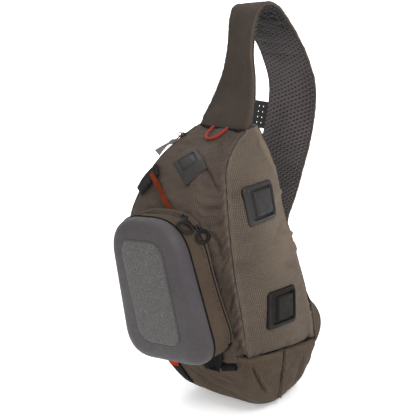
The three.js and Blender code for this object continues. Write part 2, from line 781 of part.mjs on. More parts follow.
const gearTab = frontStripRows([
  [-30, 398, 10, 1.6, 1.9],
  [-43, 387, 10, 1.8, 2.4],
  [-54.5, 374, 9.5, 1.8, 2.9],
  [-63, 359, 9, 1.6, 3.4],
]);
addPiece("gear_tab", cut(strip(gearTab, 3), bagFit), colours.greyTab, 0.8);

const tether = frontStripRows([
  [-37, 377, 4.5, 0.7, 1.4],
  [-22, 367, 4.5, 0.7, 1.4],
  [-10, 358.5, 4.5, 0.7, 1.6],
  [-4, 352.5, 4.5, 0.7, 2],
]);
addPiece("tether_webbing", cut(strip(tether, 3), bagFit), colours.orange);

// Cord loop on the sloping top, both ends tucked under the strap root.
const cordRoute = [
  [-8, 427.2], [-7.6, 425.7], [-7, 424.4], [-4.2, 423.4], [1.5, 422.7], [8.5, 422.4],
  [15, 422.7], [19.2, 423.4], [20.2, 424.4], [19.6, 425.8], [18.5, 427.2],
];
const cordCurve = new THREE.CatmullRomCurve3(cordRoute.map(([x, z]) => {
  const place = frontPlace(x, z);
  return surfacePoint(place.u, place.v, cordRadius + seatGap + gap);
}));
const cordSection = new THREE.Shape(range(8).map((k) => {
  const angle = (k / 8) * Math.PI * 2;
  return new THREE.Vector2(Math.cos(angle) * cordRadius, Math.sin(angle) * cordRadius);
}));
const cordTube = new THREE.ExtrudeGeometry(cordSection, { steps: 16, extrudePath: cordCurve });
addPiece("cord_loop", cut(cordTube, strapClear, bagFit), colours.cord, 0.7);

// Main zip along the left front seam, with its slider and a corded paddle pull.

function seamFrame(v, lift) {
  const out = outward(0, 0, v).normalize();
  const up = bodyPoint(0, Math.min(v + probe, topLevel)).sub(bodyPoint(0, v - probe)).normalize();
  return { centre: bodyPoint(0, v).addScaledVector(out, lift), out, up };
}

function seamRow(v, lift, halfWidth, halfThick) {
  const { centre, out, up } = seamFrame(v, lift);
  const across = out.cross(up);
  return [centre.x, centre.y, centre.z, halfWidth, halfThick, across.x, across.y, across.z];
}

const zipRun = mainZip.to - mainZip.from;
const zipStations = range(mainZip.steps + 1).map((i) => mainZip.from + (zipRun * i) / mainZip.steps);
const zipHalf = mainZip.proud + mainZip.sunk;
const zipTape = zipStations.map((v) => seamRow(v, -mainZip.sunk, mainZip.halfWidth, zipHalf));
addPiece("main_zip", cut(strip(zipTape, 1), bagFit), colours.zip, 0.7);

const mainSeat = seamFrame(mainZip.sliderAt, mainZip.proud + seatGap);
const mainSlider = sliderBody().applyMatrix4(frameAt(mainSeat.centre, mainSeat.up, mainSeat.out));
addPiece("main_slider", mainSlider, colours.zip, 0.5, 0.4);

// Pull from the slider down to its paddle: level, lift, half width and half thickness.
const pullRows = [
  [8.08, 8, 1.5, 1.4],
  [7.9, 7.4, 1.6, 1.4],
  [7.7, 7, 2.9, 2.4],
  [7.45, 6.6, 2.9, 2.4],
  [7.2, 6, 3.4, 1.9],
  [6.85, 5.4, 4.6, 1.6],
].map(([v, lift, halfWidth, halfThick]) => seamRow(v, lift, halfWidth, halfThick));
addPiece("main_pull", cut(strip(pullRows, 2), mainSlider), colours.pull, 0.75);

// Under the pocket: a black web over the boot edge, a short tunnel beside it, a red tab and a corner trim.

function pocketBlock(grow) {
  const depths = [-pocket.reach, 0, pocket.reach];
  return loft(depths.map((depth) => pocketRing(depth, grow))).applyMatrix4(pocketFrame);
}

const pocketClear = pocketBlock(pocket.zipBulge + gap);

function surfacePatch({ from, to, thick, cells, rows }) {
  const grid = (lift) => range(rows + 1).map((r) => range(cells + 1).map((c) => {
    const u = from.u + ((to.u - from.u) * c) / cells;
    const v = from.v + ((to.v - from.v) * r) / rows;
    return surfacePoint(u, v, lift);
  }));
  return slab(grid(thick), grid(seatGap));
}

const webPatch = surfacePatch(hingeWeb);
addPiece("hinge_web", cut(webPatch, pocketClear, bagFit), colours.black);

addPiece("boot_trim", cut(surfacePatch(bootTrim), pocketClear, bagFit), colours.black);

const tunnelRows = [[52, 103], [65, 106.5], [78, 110]].map(([x, z]) => {
  const place = frontPlace(x, z);
  const centre = surfacePoint(place.u, place.v, hingeTunnel.lift);
  return [centre.x, centre.y, centre.z, hingeTunnel.halfHeight, hingeTunnel.halfThick, 0, 0, 1];
});
addPiece("hinge_tunnel", cut(strip(tunnelRows, 3), bagFit, webPatch), colours.black);

const redTabRows = [
  [-5, -116, 141, 8, 1.1, 1, 0, 0.07],
  [-4, -117, 129, 8, 1.1, 1, 0, 0.07],
  [-2, -119, 117, 7, 1.1, 1, 0, 0.07],
];
addPiece("red_tab", cut(strip(redTabRows, 2), pocketBlock(gap)), colours.red);

export default pack;
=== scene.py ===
import math
import bmesh
import bpy
import numpy as np
from mathutils import Matrix, Vector


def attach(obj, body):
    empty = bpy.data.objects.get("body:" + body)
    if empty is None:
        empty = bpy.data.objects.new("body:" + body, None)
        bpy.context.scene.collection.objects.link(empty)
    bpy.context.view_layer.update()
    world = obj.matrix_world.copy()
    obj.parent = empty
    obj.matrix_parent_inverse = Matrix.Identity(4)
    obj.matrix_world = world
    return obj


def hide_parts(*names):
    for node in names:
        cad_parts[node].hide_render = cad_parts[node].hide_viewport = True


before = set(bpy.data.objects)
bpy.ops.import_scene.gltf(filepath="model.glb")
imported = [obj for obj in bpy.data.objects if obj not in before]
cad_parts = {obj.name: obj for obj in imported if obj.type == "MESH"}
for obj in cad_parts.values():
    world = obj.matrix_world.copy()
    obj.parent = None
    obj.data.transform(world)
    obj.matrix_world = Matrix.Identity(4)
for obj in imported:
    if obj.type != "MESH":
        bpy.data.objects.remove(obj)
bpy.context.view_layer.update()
mm = 0.001  # tables and patterns below are in millimetres

# Camera and light

photoView = {
    "azimuth": 44.978, "elevation": 22.184, "roll": -10.068, "fieldOfView": 20.0,
    "place": (1.14688, -1.14629, 0.98129), "sensor": 36.0,
}


def putInScene(name, data):
    made = bpy.data.objects.new(name, data)
    bpy.context.scene.collection.objects.link(made)
    return made


def addCamera(view):
    az, el, roll = (math.radians(view[k]) for k in ("azimuth", "elevation", "roll"))
    back = Vector((math.sin(az) * math.cos(el), -math.cos(az) * math.cos(el), math.sin(el)))
    level = Vector((math.cos(az), math.sin(az), 0))
    top = back.cross(level)
    right = level * math.cos(roll) + top * math.sin(roll)
    up = top * math.cos(roll) - level * math.sin(roll)
    data = bpy.data.cameras.new("photoCamera")
    data.sensor_width = view["sensor"]
    data.lens = view["sensor"] / 2 / math.tan(math.radians(view["fieldOfView"] / 2))
    camera = putInScene("photoCamera", data)
    turn = Matrix((right, up, back)).transposed().to_4x4()
    camera.matrix_world = Matrix.Translation(view["place"]) @ turn
    bpy.context.scene.camera = camera


softBoxes = {  # place, aim, size and power of each lamp
    "keyRight": ((1.85, -0.45, 1.9), (0, 0, 0.3), 0.8, 36),
    "fillFront": ((-0.9, -1.8, 1.0), (0, -0.05, 0.25), 1.4, 3),
    "topBox": ((0.1, 0.0, 2.2), (0, 0, 0.2), 1.4, 14),
    "backdrop": ((-1.3, 1.4, 2.0), (-2.2, 2.2, 0), 2.0, 62),
    "nearFloor": ((1.1, -1.5, 1.2), (0.15, -0.35, 0), 1.2, 14),
}
worldGlow = 0.84


def addLights():
    for name, (place, aim, size, power) in softBoxes.items():
        data = bpy.data.lights.new(name, "AREA")
        data.shape = "DISK"
        data.size = size
        data.energy = power
        lamp = putInScene(name, data)
        lamp.location = place
        lamp.rotation_euler = (Vector(aim) - Vector(place)).to_track_quat("-Z", "Y").to_euler()
    world = bpy.data.worlds.new("whiteRoom")
    world.use_nodes = True
    glow = world.node_tree.nodes["Background"]
    glow.inputs["Color"].default_value = (1, 1, 1, 1)
    glow.inputs["Strength"].default_value = worldGlow
    bpy.context.scene.world = world
    bpy.context.scene.view_settings.view_transform = "Standard"


addCamera(photoView)
addLights()
print("camera and lights placed")

# Material helpers

paintShare = 0.66  # the room is bright, so paints are darker than they read


def tone(red, green, blue):
    # a colour as it reads in the picture, 0 to 255, to linear light
    def linear(value):
        share = value / 255
        return share / 12.92 if share <= 0.04045 else ((share + 0.055) / 1.055) ** 2.4
    return tuple(paintShare * linear(value) for value in (red, green, blue)) + (1,)


class Finish:
    # one material and short calls that add its nodes
    def __init__(self, name):
        self.material = bpy.data.materials.new(name)
        self.material.use_nodes = True
        self.tree = self.material.node_tree
        self.tree.nodes.clear()
        self.shader = self.tree.nodes.new("ShaderNodeBsdfPrincipled")
        end = self.tree.nodes.new("ShaderNodeOutputMaterial")
        self.tree.links.new(self.shader.outputs[0], end.inputs[0])

    def feed(self, socket, value):
        if isinstance(value, bpy.types.NodeSocket):
            self.tree.links.new(value, socket)
        elif value is not None:
            socket.default_value = value

    def put(self, kind, *feeds, out=0, **settings):
        made = self.tree.nodes.new(kind)
        for key, value in settings.items():
            setattr(made, key, value)
        for socket, value in zip(made.inputs, feeds):
            self.feed(socket, value)
        return made.outputs[out]

    def math(self, operation, a, b=None, c=None):
        return self.put("ShaderNodeMath", a, b, c, operation=operation)

    def times(self, a, b):
        return self.math("MULTIPLY", a, b)

    def mix(self, share, a, b):
        made = self.tree.nodes.new("ShaderNodeMix")
        made.data_type = "RGBA"
        self.feed(made.inputs[0], share)
        self.feed(made.inputs[6], a)
        self.feed(made.inputs[7], b)
        return made.outputs[2]

    def remap(self, value, low, high, newLow=0.0, newHigh=1.0):
        ends = (low, high, newLow, newHigh)
        return self.put("ShaderNodeMapRange", value, *ends, interpolation_type="SMOOTHSTEP")

    def uvAxes(self):
        place = self.put("ShaderNodeUVMap", uv_map="sewn")
        split = self.tree.nodes.new("ShaderNodeSeparateXYZ")
        self.tree.links.new(place, split.inputs[0])
        return place, split.outputs[0], split.outputs[1]

    def objectPlace(self):
        return self.put("ShaderNodeTexCoord", out=3)

    def noise(self, place, scale, detail=3.0, rough=0.55):
        made = self.tree.nodes.new("ShaderNodeTexNoise")
        self.tree.links.new(place, made.inputs["Vector"])
        made.inputs["Scale"].default_value = scale
        made.inputs["Detail"].default_value = detail
        made.inputs["Roughness"].default_value = rough
        return made.outputs[0]

    def cloud(self, place, scale, low=0.0, high=1.0, detail=3.0):
        # a slow uneven change from low to high
        return self.remap(self.noise(place, scale, detail), 0.3, 0.7, low, high)

    def wave(self, value, period, phase=0.0):
        # a cosine of a place in millimetres, from -1 to 1
        return self.math("COSINE", self.math("MULTIPLY_ADD", value, 2 * math.pi / period, phase))

    def lines(self, value, period, width):
        # thin lines, one every period
        near = self.math("PINGPONG", value, period / 2)
        return self.remap(near, 0.0, width, 1.0, 0.0)

    def attribute(self, name):
        return self.put("ShaderNodeAttribute", out=2, attribute_name=name)

    def bump(self, height, distance, strength=1.0, before=None):
        made = self.tree.nodes.new("ShaderNodeBump")
        made.inputs["Strength"].default_value = strength
        made.inputs["Distance"].default_value = distance
        self.tree.links.new(height, made.inputs["Height"])
        if before is not None:
            self.tree.links.new(before, made.inputs["Normal"])
        return made.outputs[0]

    def wire(self, colour=None, roughness=None, normal=None, **fixed):
        for name, value in (("Base Color", colour), ("Roughness", roughness), ("Normal", normal)):
            self.feed(self.shader.inputs[name], value)
        for name, value in fixed.items():
            self.shader.inputs[name.replace("_", " ")].default_value = value
        return self.material


# grooveBlack is the colour of painted shade in the plates' grooves
yarnGap, webGap, grooveBlack = (0.02, 0.018, 0.015, 1), (0.004, 0.004, 0.004, 1), (0.002, 0.002, 0.002, 1)


def ripstopCloth(name, dark, light, thread, lineShare=0.62):
    look = Finish(name)
    place, x, y = look.uvAxes()
    world = look.objectPlace()
    warp = look.lines(x, 3.3, 1.15)
    weft = look.lines(y, 3.9, 0.9)
    grid = look.math("MAXIMUM", warp, look.times(weft, 0.55))
    grid = look.times(grid, look.cloud(place, 0.32, 0.45, 1.0, 2.0))  # uneven yarns
    cloud = look.cloud(world, 11.0, detail=4.0)
    grain = look.noise(place, 1.7, 2.0)
    colour = look.mix(cloud, dark, light)
    colour = look.mix(look.times(grid, lineShare), colour, thread)
    colour = look.mix(look.remap(grain, 0.25, 0.75, 0.0, 0.22), colour, yarnGap)
    # lighter towards the thread colour by a point attribute: wear along the seams, and painted light on the
    # side panels
    wornAndPaintedLight = look.times(look.attribute("wearAndPaintedLight"), 0.45)
    colour = look.mix(wornAndPaintedLight, colour, thread)
    basket = look.times(look.wave(x, 0.62), look.wave(y, 0.62))
    height = look.math("MULTIPLY_ADD", basket, 0.16, look.times(grid, 0.8))
    fine = look.bump(height, 0.0003, 0.55)
    soft = look.bump(look.noise(place, 0.085, 3.0), 0.002, 0.5, fine)  # small crumples
    rough = look.cloud(world, 60.0, 0.56, 0.74)
    return look.wire(colour, rough, soft, Sheen_Weight=0.02, Sheen_Roughness=0.5, Specular_IOR_Level=0.06)


def twillCloth(name, dark, light, thread):
    look = Finish(name)
    place, x, y = look.uvAxes()
    world = look.objectPlace()
    slant = look.wave(look.math("ADD", x, y), 1.5)
    across = look.lines(y, 2.4, 0.7)
    cloud = look.cloud(world, 16.0, detail=4.0)
    colour = look.mix(cloud, dark, light)
    colour = look.mix(look.remap(slant, -1.0, 1.0, 0.0, 0.16), colour, thread)
    colour = look.mix(look.times(across, 0.12), colour, yarnGap)
    colour = look.mix(look.times(look.attribute("wearAndPaintedLight"), 0.4), colour, thread)
    height = look.math("MULTIPLY_ADD", slant, 0.3, look.times(across, -0.4))
    fine = look.bump(height, 0.0003, 0.5)
    soft = look.bump(look.noise(place, 0.12, 3.0), 0.001, 0.35, fine)
    rough = look.cloud(world, 70.0, 0.62, 0.82)
    return look.wire(colour, rough, soft, Sheen_Weight=0.03, Sheen_Roughness=0.5, Specular_IOR_Level=0.08)


def spacerMesh(name, yarn, hole, glint):
    look = Finish(name)
    _, x, y = look.uvAxes()
    world = look.objectPlace()
    cell = look.times(look.wave(x, 11.4), look.wave(y, 7.0))  # staggered oval cells
    pit = look.remap(cell, -0.1, 0.7)
    cloud = look.cloud(world, 14.0, 0.0, 0.5)
    slant = look.math("ADD", x, look.times(y, 1.63))
    rib = look.remap(look.wave(slant, 11.4), -1.0, 1.0, 0.0, 0.55)
    colour = look.mix(cloud, yarn, glint)
    colour = look.mix(rib, colour, glint)
    colour = look.mix(look.times(pit, 0.85), colour, hole)
    colour = look.mix(look.times(look.attribute("wearAndPaintedLight"), 0.75), colour, hole)  # painted shade in the bend of the strap lining
    height = look.math("SUBTRACT", look.times(rib, 0.25), pit)
    normal = look.bump(height, 0.0012, 0.9)
    return look.wire(colour, 0.86, normal, Sheen_Weight=0.12, Sheen_Roughness=0.45, Specular_IOR_Level=0.15)


def mouldedFoam(name, dark, light):
    look = Finish(name)
    world = look.objectPlace()
    cloud = look.cloud(world, 9.0, detail=4.0)
    speck = look.noise(world, 900.0, 2.0)
    colour = look.mix(cloud, dark, light)
    colour = look.mix(look.remap(speck, 0.55, 0.75, 0.0, 0.25), colour, tone(126, 120, 124))
    knit = look.noise(world, 1600.0, 2.0)
    normal = look.bump(knit, 0.0002, 0.5)
    normal = look.bump(look.noise(world, 26.0, 2.0), 0.0012, 0.2, normal)
    rough = look.cloud(world, 120.0, 0.5, 0.64)
    return look.wire(colour, rough, normal, Sheen_Weight=0.06, Sheen_Roughness=0.4, Specular_IOR_Level=0.28)


def heatherFelt(name, dark, mid, light):
    look = Finish(name)
    world = look.objectPlace()
    stretch = look.put("ShaderNodeMapping", world, None, (0.0, 0.35, 0.0), (1.0, 1.0, 0.55))
    fleck = look.noise(stretch, 620.0, 3.0, 0.65)
    patch = look.noise(world, 230.0, 2.0)
    colour = look.mix(look.remap(fleck, 0.34, 0.52), dark, mid)
    colour = look.mix(look.remap(fleck, 0.55, 0.72, 0.0, 0.85), colour, light)
    colour = look.mix(look.remap(patch, 0.35, 0.7, 0.0, 0.3), colour, dark)
    normal = look.bump(look.noise(world, 800.0, 4.0), 0.0008, 0.8)
    return look.wire(colour, 0.95, normal, Sheen_Weight=0.2, Sheen_Roughness=0.6, Specular_IOR_Level=0.1)


def wovenWebbing(name, dark, light, rib=1.4):
    look = Finish(name)
    _, x, y = look.uvAxes()
    world = look.objectPlace()
    chevron = look.math("PINGPONG", x, 3.0)
    weave = look.wave(look.math("ADD", y, chevron), rib)
    cloud = look.cloud(world, 40.0)
    colour = look.mix(cloud, dark, light)
    colour = look.mix(look.remap(weave, -1.0, 0.2, 0.5, 0.0), colour, webGap)
    normal = look.bump(weave, 0.0003, 0.7)
    return look.wire(colour, 0.82, normal, Sheen_Weight=0.01, Sheen_Roughness=0.5, Specular_IOR_Level=0.06)


def mouldedPlastic(name, dark, light, rough=(0.42, 0.58), shine=0.3):
    look = Finish(name)
    world = look.objectPlace()
    cloud = look.cloud(world, 30.0, detail=4.0)
    colour = look.mix(cloud, dark, light)
    scuff = look.remap(look.noise(world, 420.0, 5.0, 0.7), 0.62, 0.78, 0.0, 0.35)
    colour = look.mix(scuff, colour, tone(120, 118, 116))
    recess = look.attribute("recess")  # above 0: painted shade in grooves, slots and on the outer rim, and a darker bridge panel; below 0: painted highlight on the lips
    colour = look.mix(look.times(recess, -1.0), colour, tone(128, 118, 118))
    colour = look.mix(recess, colour, grooveBlack)
    normal = look.bump(look.noise(world, 1400.0, 2.0), 0.00018, 0.6)
    return look.wire(colour, look.cloud(world, 90.0, *rough), normal, Specular_IOR_Level=shine)


def coatedMetal(name, dark, light):
    look = Finish(name)
    world = look.objectPlace()
    colour = look.mix(look.cloud(world, 150.0, detail=4.0), dark, light)
    rub = look.remap(look.noise(world, 700.0, 5.0, 0.7), 0.6, 0.75, 0.0, 0.6)
    colour = look.mix(rub, colour, tone(150, 148, 146))
    rough = look.cloud(world, 300.0, 0.3, 0.5)
    normal = look.bump(look.noise(world, 900.0), 0.0001, 0.4)
    return look.wire(colour, rough, normal, Metallic=0.55, Specular_IOR_Level=0.5)


def braidedCord(name, dark, light):
    look = Finish(name)
    _, x, y = look.uvAxes()
    left = look.wave(look.math("ADD", look.times(y, 1.6), x), 2.3)
    right = look.wave(look.math("SUBTRACT", look.times(y, 1.6), x), 2.3)
    strand = look.times(left, right)
    colour = look.mix(look.remap(strand, -0.7, 0.7), dark, light)
    normal = look.bump(strand, 0.0003, 0.8)
    return look.wire(colour, 0.66, normal, Sheen_Weight=0.05, Sheen_Roughness=0.5, Specular_IOR_Level=0.2)


finishTable = {  # kind, tones and settings
    # the front, gusset and boot ripstops are darker copies of the side's: painted shade on the front, which
    # faces away from the key lamp, on the pocket's gusset and on the boot; the boot's warmer hue is its own
    "frontCloth": (ripstopCloth, [(61, 52, 45), (73, 62, 55), (112, 98, 88)], {}),
    "sideCloth": (ripstopCloth, [(66, 57, 49), (79, 69, 60), (138, 123, 109)], {}),
    "gussetCloth": (ripstopCloth, [(68, 56, 46), (80, 67, 56), (108, 93, 79)], {"lineShare": 0.4}),
    "bootCloth": (ripstopCloth, [(64, 51, 40), (75, 62, 50), (108, 92, 75)], {}),
    "strapCloth": (twillCloth, [(54, 46, 40), (64, 55, 48), (94, 82, 72)], {}),
    "spacerMesh": (spacerMesh, [(70, 63, 64), (20, 17, 18), (112, 103, 103)], {}),
    "shellFoam": (mouldedFoam, [(58, 53, 56), (65, 60, 63)], {}),
    "felt": (heatherFelt, [(52, 49, 48), (78, 74, 73), (120, 115, 113)], {}),
    "blackWeb": (wovenWebbing, [(16, 16, 17), (28, 28, 29)], {}),
    "zipTape": (wovenWebbing, [(24, 21, 19), (36, 32, 29)], {"rib": 0.9}),
    "zipCoil": (mouldedPlastic, [(22, 20, 19), (36, 33, 31)], {"rough": (0.35, 0.5)}),
    "sliderMetal": (coatedMetal, [(36, 34, 33), (56, 53, 51)], {}),
    "pullRubber": (mouldedPlastic, [(22, 21, 20), (34, 32, 30)], {"shine": 0.15, "rough": (0.6, 0.75)}),
    "platePlastic": (mouldedPlastic, [(34, 30, 29), (43, 38, 37)], {}),
    # a darker, duller copy of the plate plastic: painted shade on the lower plate
    "lowerPlatePlastic": (mouldedPlastic, [(24, 20, 17), (33, 28, 25)], {"shine": 0.1}),
    "blackPlastic": (mouldedPlastic, [(18, 18, 18), (30, 29, 29)], {}),
    "greyWeb": (wovenWebbing, [(40, 38, 38), (54, 51, 51)], {"rib": 1.2}),
    "orangeWeb": (wovenWebbing, [(112, 42, 14), (138, 55, 21)], {"rib": 1.2}),
    "redWeb": (wovenWebbing, [(206, 44, 22), (230, 66, 36)], {"rib": 1.2}),
    "redCord": (braidedCord, [(128, 20, 5), (176, 42, 14)], {}),
    "maroonCord": (braidedCord, [(110, 40, 34), (140, 62, 52)], {}),
    # dark cords: painted shade in the seams and darts, and the hem cord at the strap root
    "seamThread": (mouldedPlastic, [(26, 21, 17), (40, 33, 27)], {"rough": (0.7, 0.85)}),
    "ringMetal": (coatedMetal, [(120, 118, 116), (165, 163, 160)], {}),
    "edgeThread": (mouldedPlastic, [(66, 56, 48), (92, 80, 70)], {"rough": (0.6, 0.8)}),
    "paddleGrey": (mouldedPlastic, [(80, 79, 78), (104, 103, 101)], {"rough": (0.55, 0.7)}),
    "brownThread": (mouldedPlastic, [(58, 50, 44), (78, 69, 61)], {"rough": (0.6, 0.8)}),
    "greyThread": (mouldedPlastic, [(70, 66, 66), (96, 91, 90)], {"rough": (0.6, 0.8)}),
}
finishes = {
    name: make(name, *(tone(*mixed) for mixed in tones), **settings)
    for name, (make, tones, settings) in finishTable.items()
}
print("finishes made:", len(finishes))

# Floor

floorSpec = {"tone": 0.93, "dim": 0.01, "span": 9.0, "rough": 0.9, "shine": 0.1, "glow": 0.18}


def addFloor():
    look, s = Finish("paleFloor"), floorSpec
    pale, dim = ((value,) * 3 + (1,) for value in (s["tone"], s["tone"] - s["dim"]))
    colour = look.mix(look.noise(look.objectPlace(), 3.0), pale, dim)
    mesh = bpy.data.meshes.new("floor")
    h = s["span"]
    mesh.from_pydata([(-h, -h, 0), (h, -h, 0), (h, h, 0), (-h, h, 0)], [], [(0, 1, 2, 3)])
    material = look.wire(colour, s["rough"], Specular_IOR_Level=s["shine"], Emission_Strength=s["glow"])
    mesh.materials.append(material)
    floor = putInScene("floor", mesh)


addFloor()

# Mesh helpers: points are arrays in millimetres


def pieceFrom(name, points, faces, finish, uv=None, wearAndPaintedLight=None, mark="wearAndPaintedLight"):
    # uv is one row per point, or a list with one pair per face corner
    mesh = bpy.data.meshes.new(name)
    mesh.from_pydata((np.asarray(points, float) * mm).tolist(), [], faces)
    if uv is not None:
        layer = mesh.uv_layers.new(name="sewn")
        flat = np.asarray(uv, float)
        corner = np.zeros(len(mesh.loops), int)
        mesh.loops.foreach_get("vertex_index", corner)
        spread = flat if len(flat) == len(corner) and len(flat) != len(points) else flat[corner]
        layer.data.foreach_set("uv", spread.astype(np.float32).ravel())
    if wearAndPaintedLight is not None:
        values = mesh.attributes.new(mark, "FLOAT", "POINT")
        values.data.foreach_set("value", np.asarray(wearAndPaintedLight, np.float32).ravel())
    mesh.shade_smooth()
    mesh.materials.append(finishes[finish])
    return putInScene(name, mesh)


def dress(piece, slot, *nodes):
    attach(piece, "root")
    if nodes:
        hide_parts(*nodes)
    return piece


def gridNormals(points):
    return unit(np.cross(np.gradient(points, axis=1), np.gradient(points, axis=0)))


def gridQuads(rows, cols, start=0, flip=False):
    r, c = np.meshgrid(np.arange(rows - 1), np.arange(cols - 1), indexing="ij")
    a = start + r * cols + c
    quads = np.stack([a, a + 1, a + cols + 1, a + cols], -1).reshape(-1, 4)
    return quads[:, ::-1] if flip else quads


def runLength(points, axis):
    # distance gone along the columns (0) or the rows (1) of a grid
    gone = np.cumsum(np.linalg.norm(np.diff(points, axis=axis), axis=2), axis=axis)
    return np.insert(gone, 0, 0, axis=axis)


def twoFaced(name, outer, inner, finish, uv=None, wearAndPaintedLight=None, mark="wearAndPaintedLight"):
    # an outer and an inner face, closed at their edges
    rows, cols = outer.shape[:2]
    count = rows * cols
    edge = np.concatenate([
        np.arange(cols), np.arange(1, rows) * cols + cols - 1,
        (rows - 1) * cols + np.arange(cols - 2, -1, -1), np.arange(rows - 2, 0, -1) * cols,
    ])
    after = np.roll(edge, -1)
    rim = np.stack([after, edge, edge + count, after + count], -1)
    faces = np.concatenate([gridQuads(rows, cols), gridQuads(rows, cols, count, True), rim]).tolist()
    points = np.concatenate([outer.reshape(-1, 3), inner.reshape(-1, 3)])
    return pieceFrom(name, points, faces, finish, uv, wearAndPaintedLight, mark)


def sheetPiece(name, outer, thick, finish, uv, slot, *nodes, wearAndPaintedLight=None):
    # a sewn wall of even thickness
    inner = outer - gridNormals(outer) * thick
    marks = None if wearAndPaintedLight is None else np.tile(wearAndPaintedLight.ravel(), 2)
    made = twoFaced(name, outer, inner, finish, np.tile(uv.reshape(-1, 2), (2, 1)), marks)
    return dress(made, slot, *nodes)


def tubePiece(name, rings, finish, slot, *nodes, closed=False, wearAndPaintedLight=None):
    # a skin through rings of points, with flat ends unless it is closed on itself
    rings = np.asarray(rings, float)
    count, cells = rings.shape[:2]
    girth = np.linalg.norm(rings - np.roll(rings, -1, 1), axis=2).mean(0)
    around = np.concatenate([[0], np.cumsum(girth)])
    steps = np.linalg.norm(np.diff(rings, axis=0), axis=2).mean(1)
    along = np.concatenate([[0], np.cumsum(steps)])
    spans = count if closed else count - 1
    r, c = np.meshgrid(np.arange(spans), np.arange(cells), indexing="ij")
    d, q = (c + 1) % cells, (r + 1) % count
    faces = np.stack([r * cells + c, r * cells + d, q * cells + d, q * cells + c], -1).reshape(-1, 4)
    if closed:
        along = np.append(along, along[-1] + np.linalg.norm(rings[0] - rings[-1], axis=1).mean())
    low = np.stack([around[c], along[r]], -1)
    lowNext = np.stack([around[c + 1], along[r]], -1)
    highNext = np.stack([around[c + 1], along[r + 1]], -1)
    high = np.stack([around[c], along[r + 1]], -1)
    uv = np.stack([low, lowNext, highNext, high], 2).reshape(-1, 2)
    points = rings.reshape(-1, 3)
    faces = faces.tolist()
    if not closed:
        first, last = len(points), len(points) + 1
        points = np.concatenate([points, [rings[0].mean(0), rings[-1].mean(0)]])
        top = (count - 1) * cells
        extra = []
        for k in range(cells):
            n = (k + 1) % cells
            faces.append([first, n, k])
            faces.append([last, top + k, top + n])
            extra += [(0, 0), (around[k + 1], 0), (around[k], 0)]
            extra += [(0, along[-1]), (around[k], along[-1]), (around[k + 1], along[-1])]
        uv = np.concatenate([uv, np.array(extra, float)])
        if wearAndPaintedLight is not None:
            wearAndPaintedLight = np.concatenate([np.ravel(wearAndPaintedLight), [0, 0]])
    return dress(pieceFrom(name, points, faces, finish, uv, wearAndPaintedLight), slot, *nodes)


def unit(vectors):
    vectors = np.asarray(vectors, float)
    return vectors / np.maximum(np.linalg.norm(vectors, axis=-1, keepdims=True), 1e-9)


def step(value, low, high):
    share = np.clip((value - low) / (high - low), 0, 1)
    return share * share * (3 - 2 * share)


def smoothRows(rows, at):
    # smooth values between the rows of a table
    rows, at = np.asarray(rows, float), np.asarray(at, float)
    i = np.clip(np.floor(at).astype(int), 0, len(rows) - 2)
    t = (at - i)[..., None]
    slope = np.gradient(rows, axis=0)
    ease = 3 * t**2 - 2 * t**3
    rise = (t**3 - 2 * t**2 + t) * slope[i] + (t**3 - t**2) * slope[i + 1]
    return rows[i] + ease * (rows[i + 1] - rows[i]) + rise


def evenPath(points, count, closed=False):
    # points spread evenly along a line
    points = np.asarray(points, float)
    if closed:
        points = np.concatenate([points, points[:1]])
    run = np.concatenate([[0], np.cumsum(np.linalg.norm(np.diff(points, axis=0), axis=1))])
    want = np.linspace(0, run[-1], count + 1)[:-1] if closed else np.linspace(0, run[-1], count)
    return np.stack([np.interp(want, run, points[:, k]) for k in range(points.shape[1])], -1)


def curvedPath(points, count):
    # a smooth line through a few points
    points = np.asarray(points, float)
    return evenPath(smoothRows(points, np.linspace(0, len(points) - 1, 12 * len(points))), count)


def roundRings(path, radius, sides=10, out=None, flat=1.0):
    # circles or flattened ovals along a path
    path = np.asarray(path, float)
    travel = unit(np.gradient(path, axis=0))
    if out is None:
        out = np.tile([0.13, 0.29, 0.95], (len(path), 1))
    side = unit(np.cross(out, travel))
    face = np.cross(travel, side)
    angle = np.arange(sides) / sides * 2 * np.pi
    radius = np.broadcast_to(np.asarray(radius, float), (len(path),))[:, None, None]
    ring = np.cos(angle)[None, :, None] * side[:, None] + flat * np.sin(angle)[None, :, None] * face[:, None]
    return path[:, None] + radius * ring


def loopRings(path, radius, sides, out, flat=1.0):
    # rings along a path that is closed on itself
    path, out = (np.concatenate([line[-2:], line, line[:2]]) for line in (path, out))
    return roundRings(path, radius, sides, out, flat)[2:-2]


def softCorner(start, corner, end, count):
    # a bend from start to end that leans towards the corner
    share = np.linspace(0, 1, count)[:, None]
    return (1 - share) ** 2 * start + 2 * share * (1 - share) * corner + share**2 * end


noiseWaves = 14


def softNoise(x, y, size, seed, stretch=(1.0, 1.0)):
    # gentle uneven waves, about -1 to 1
    rng = np.random.default_rng(seed)
    total = np.zeros(np.broadcast(x, y).shape)
    for _ in range(noiseWaves):
        turn = rng.uniform(0, 2 * np.pi)
        length = size * rng.uniform(0.6, 1.8)
        phase = rng.uniform(0, 2 * np.pi)
        run = x / stretch[0] * np.cos(turn) + y / stretch[1] * np.sin(turn)
        total += np.sin(2 * np.pi * run / length + phase)
    return total / math.sqrt(noiseWaves)


def distanceTo(x, y, route):
    # distance to a line of places and the share along it
    best = np.full(np.shape(x), 1e9)
    share = np.zeros(np.shape(x))
    side = np.zeros(np.shape(x))
    lengths = np.linalg.norm(np.diff(route, axis=0), axis=1)
    start = np.concatenate([[0], np.cumsum(lengths)])
    for k in range(len(route) - 1):
        a, d = route[k], route[k + 1] - route[k]
        t = np.clip(((x - a[0]) * d[0] + (y - a[1]) * d[1]) / (d @ d), 0, 1)
        away = np.hypot(x - a[0] - t * d[0], y - a[1] - t * d[1])
        near = away < best
        best = np.where(near, away, best)
        share = np.where(near, (start[k] + t * lengths[k]) / start[-1], share)
        side = np.where(near, np.sign(d[0] * (y - a[1]) - d[1] * (x - a[0])), side)
    return best, share, side


# Cloth: a padded face blown up between its sewn lines

clothSpec = {"frames": 20, "most": 9.0}


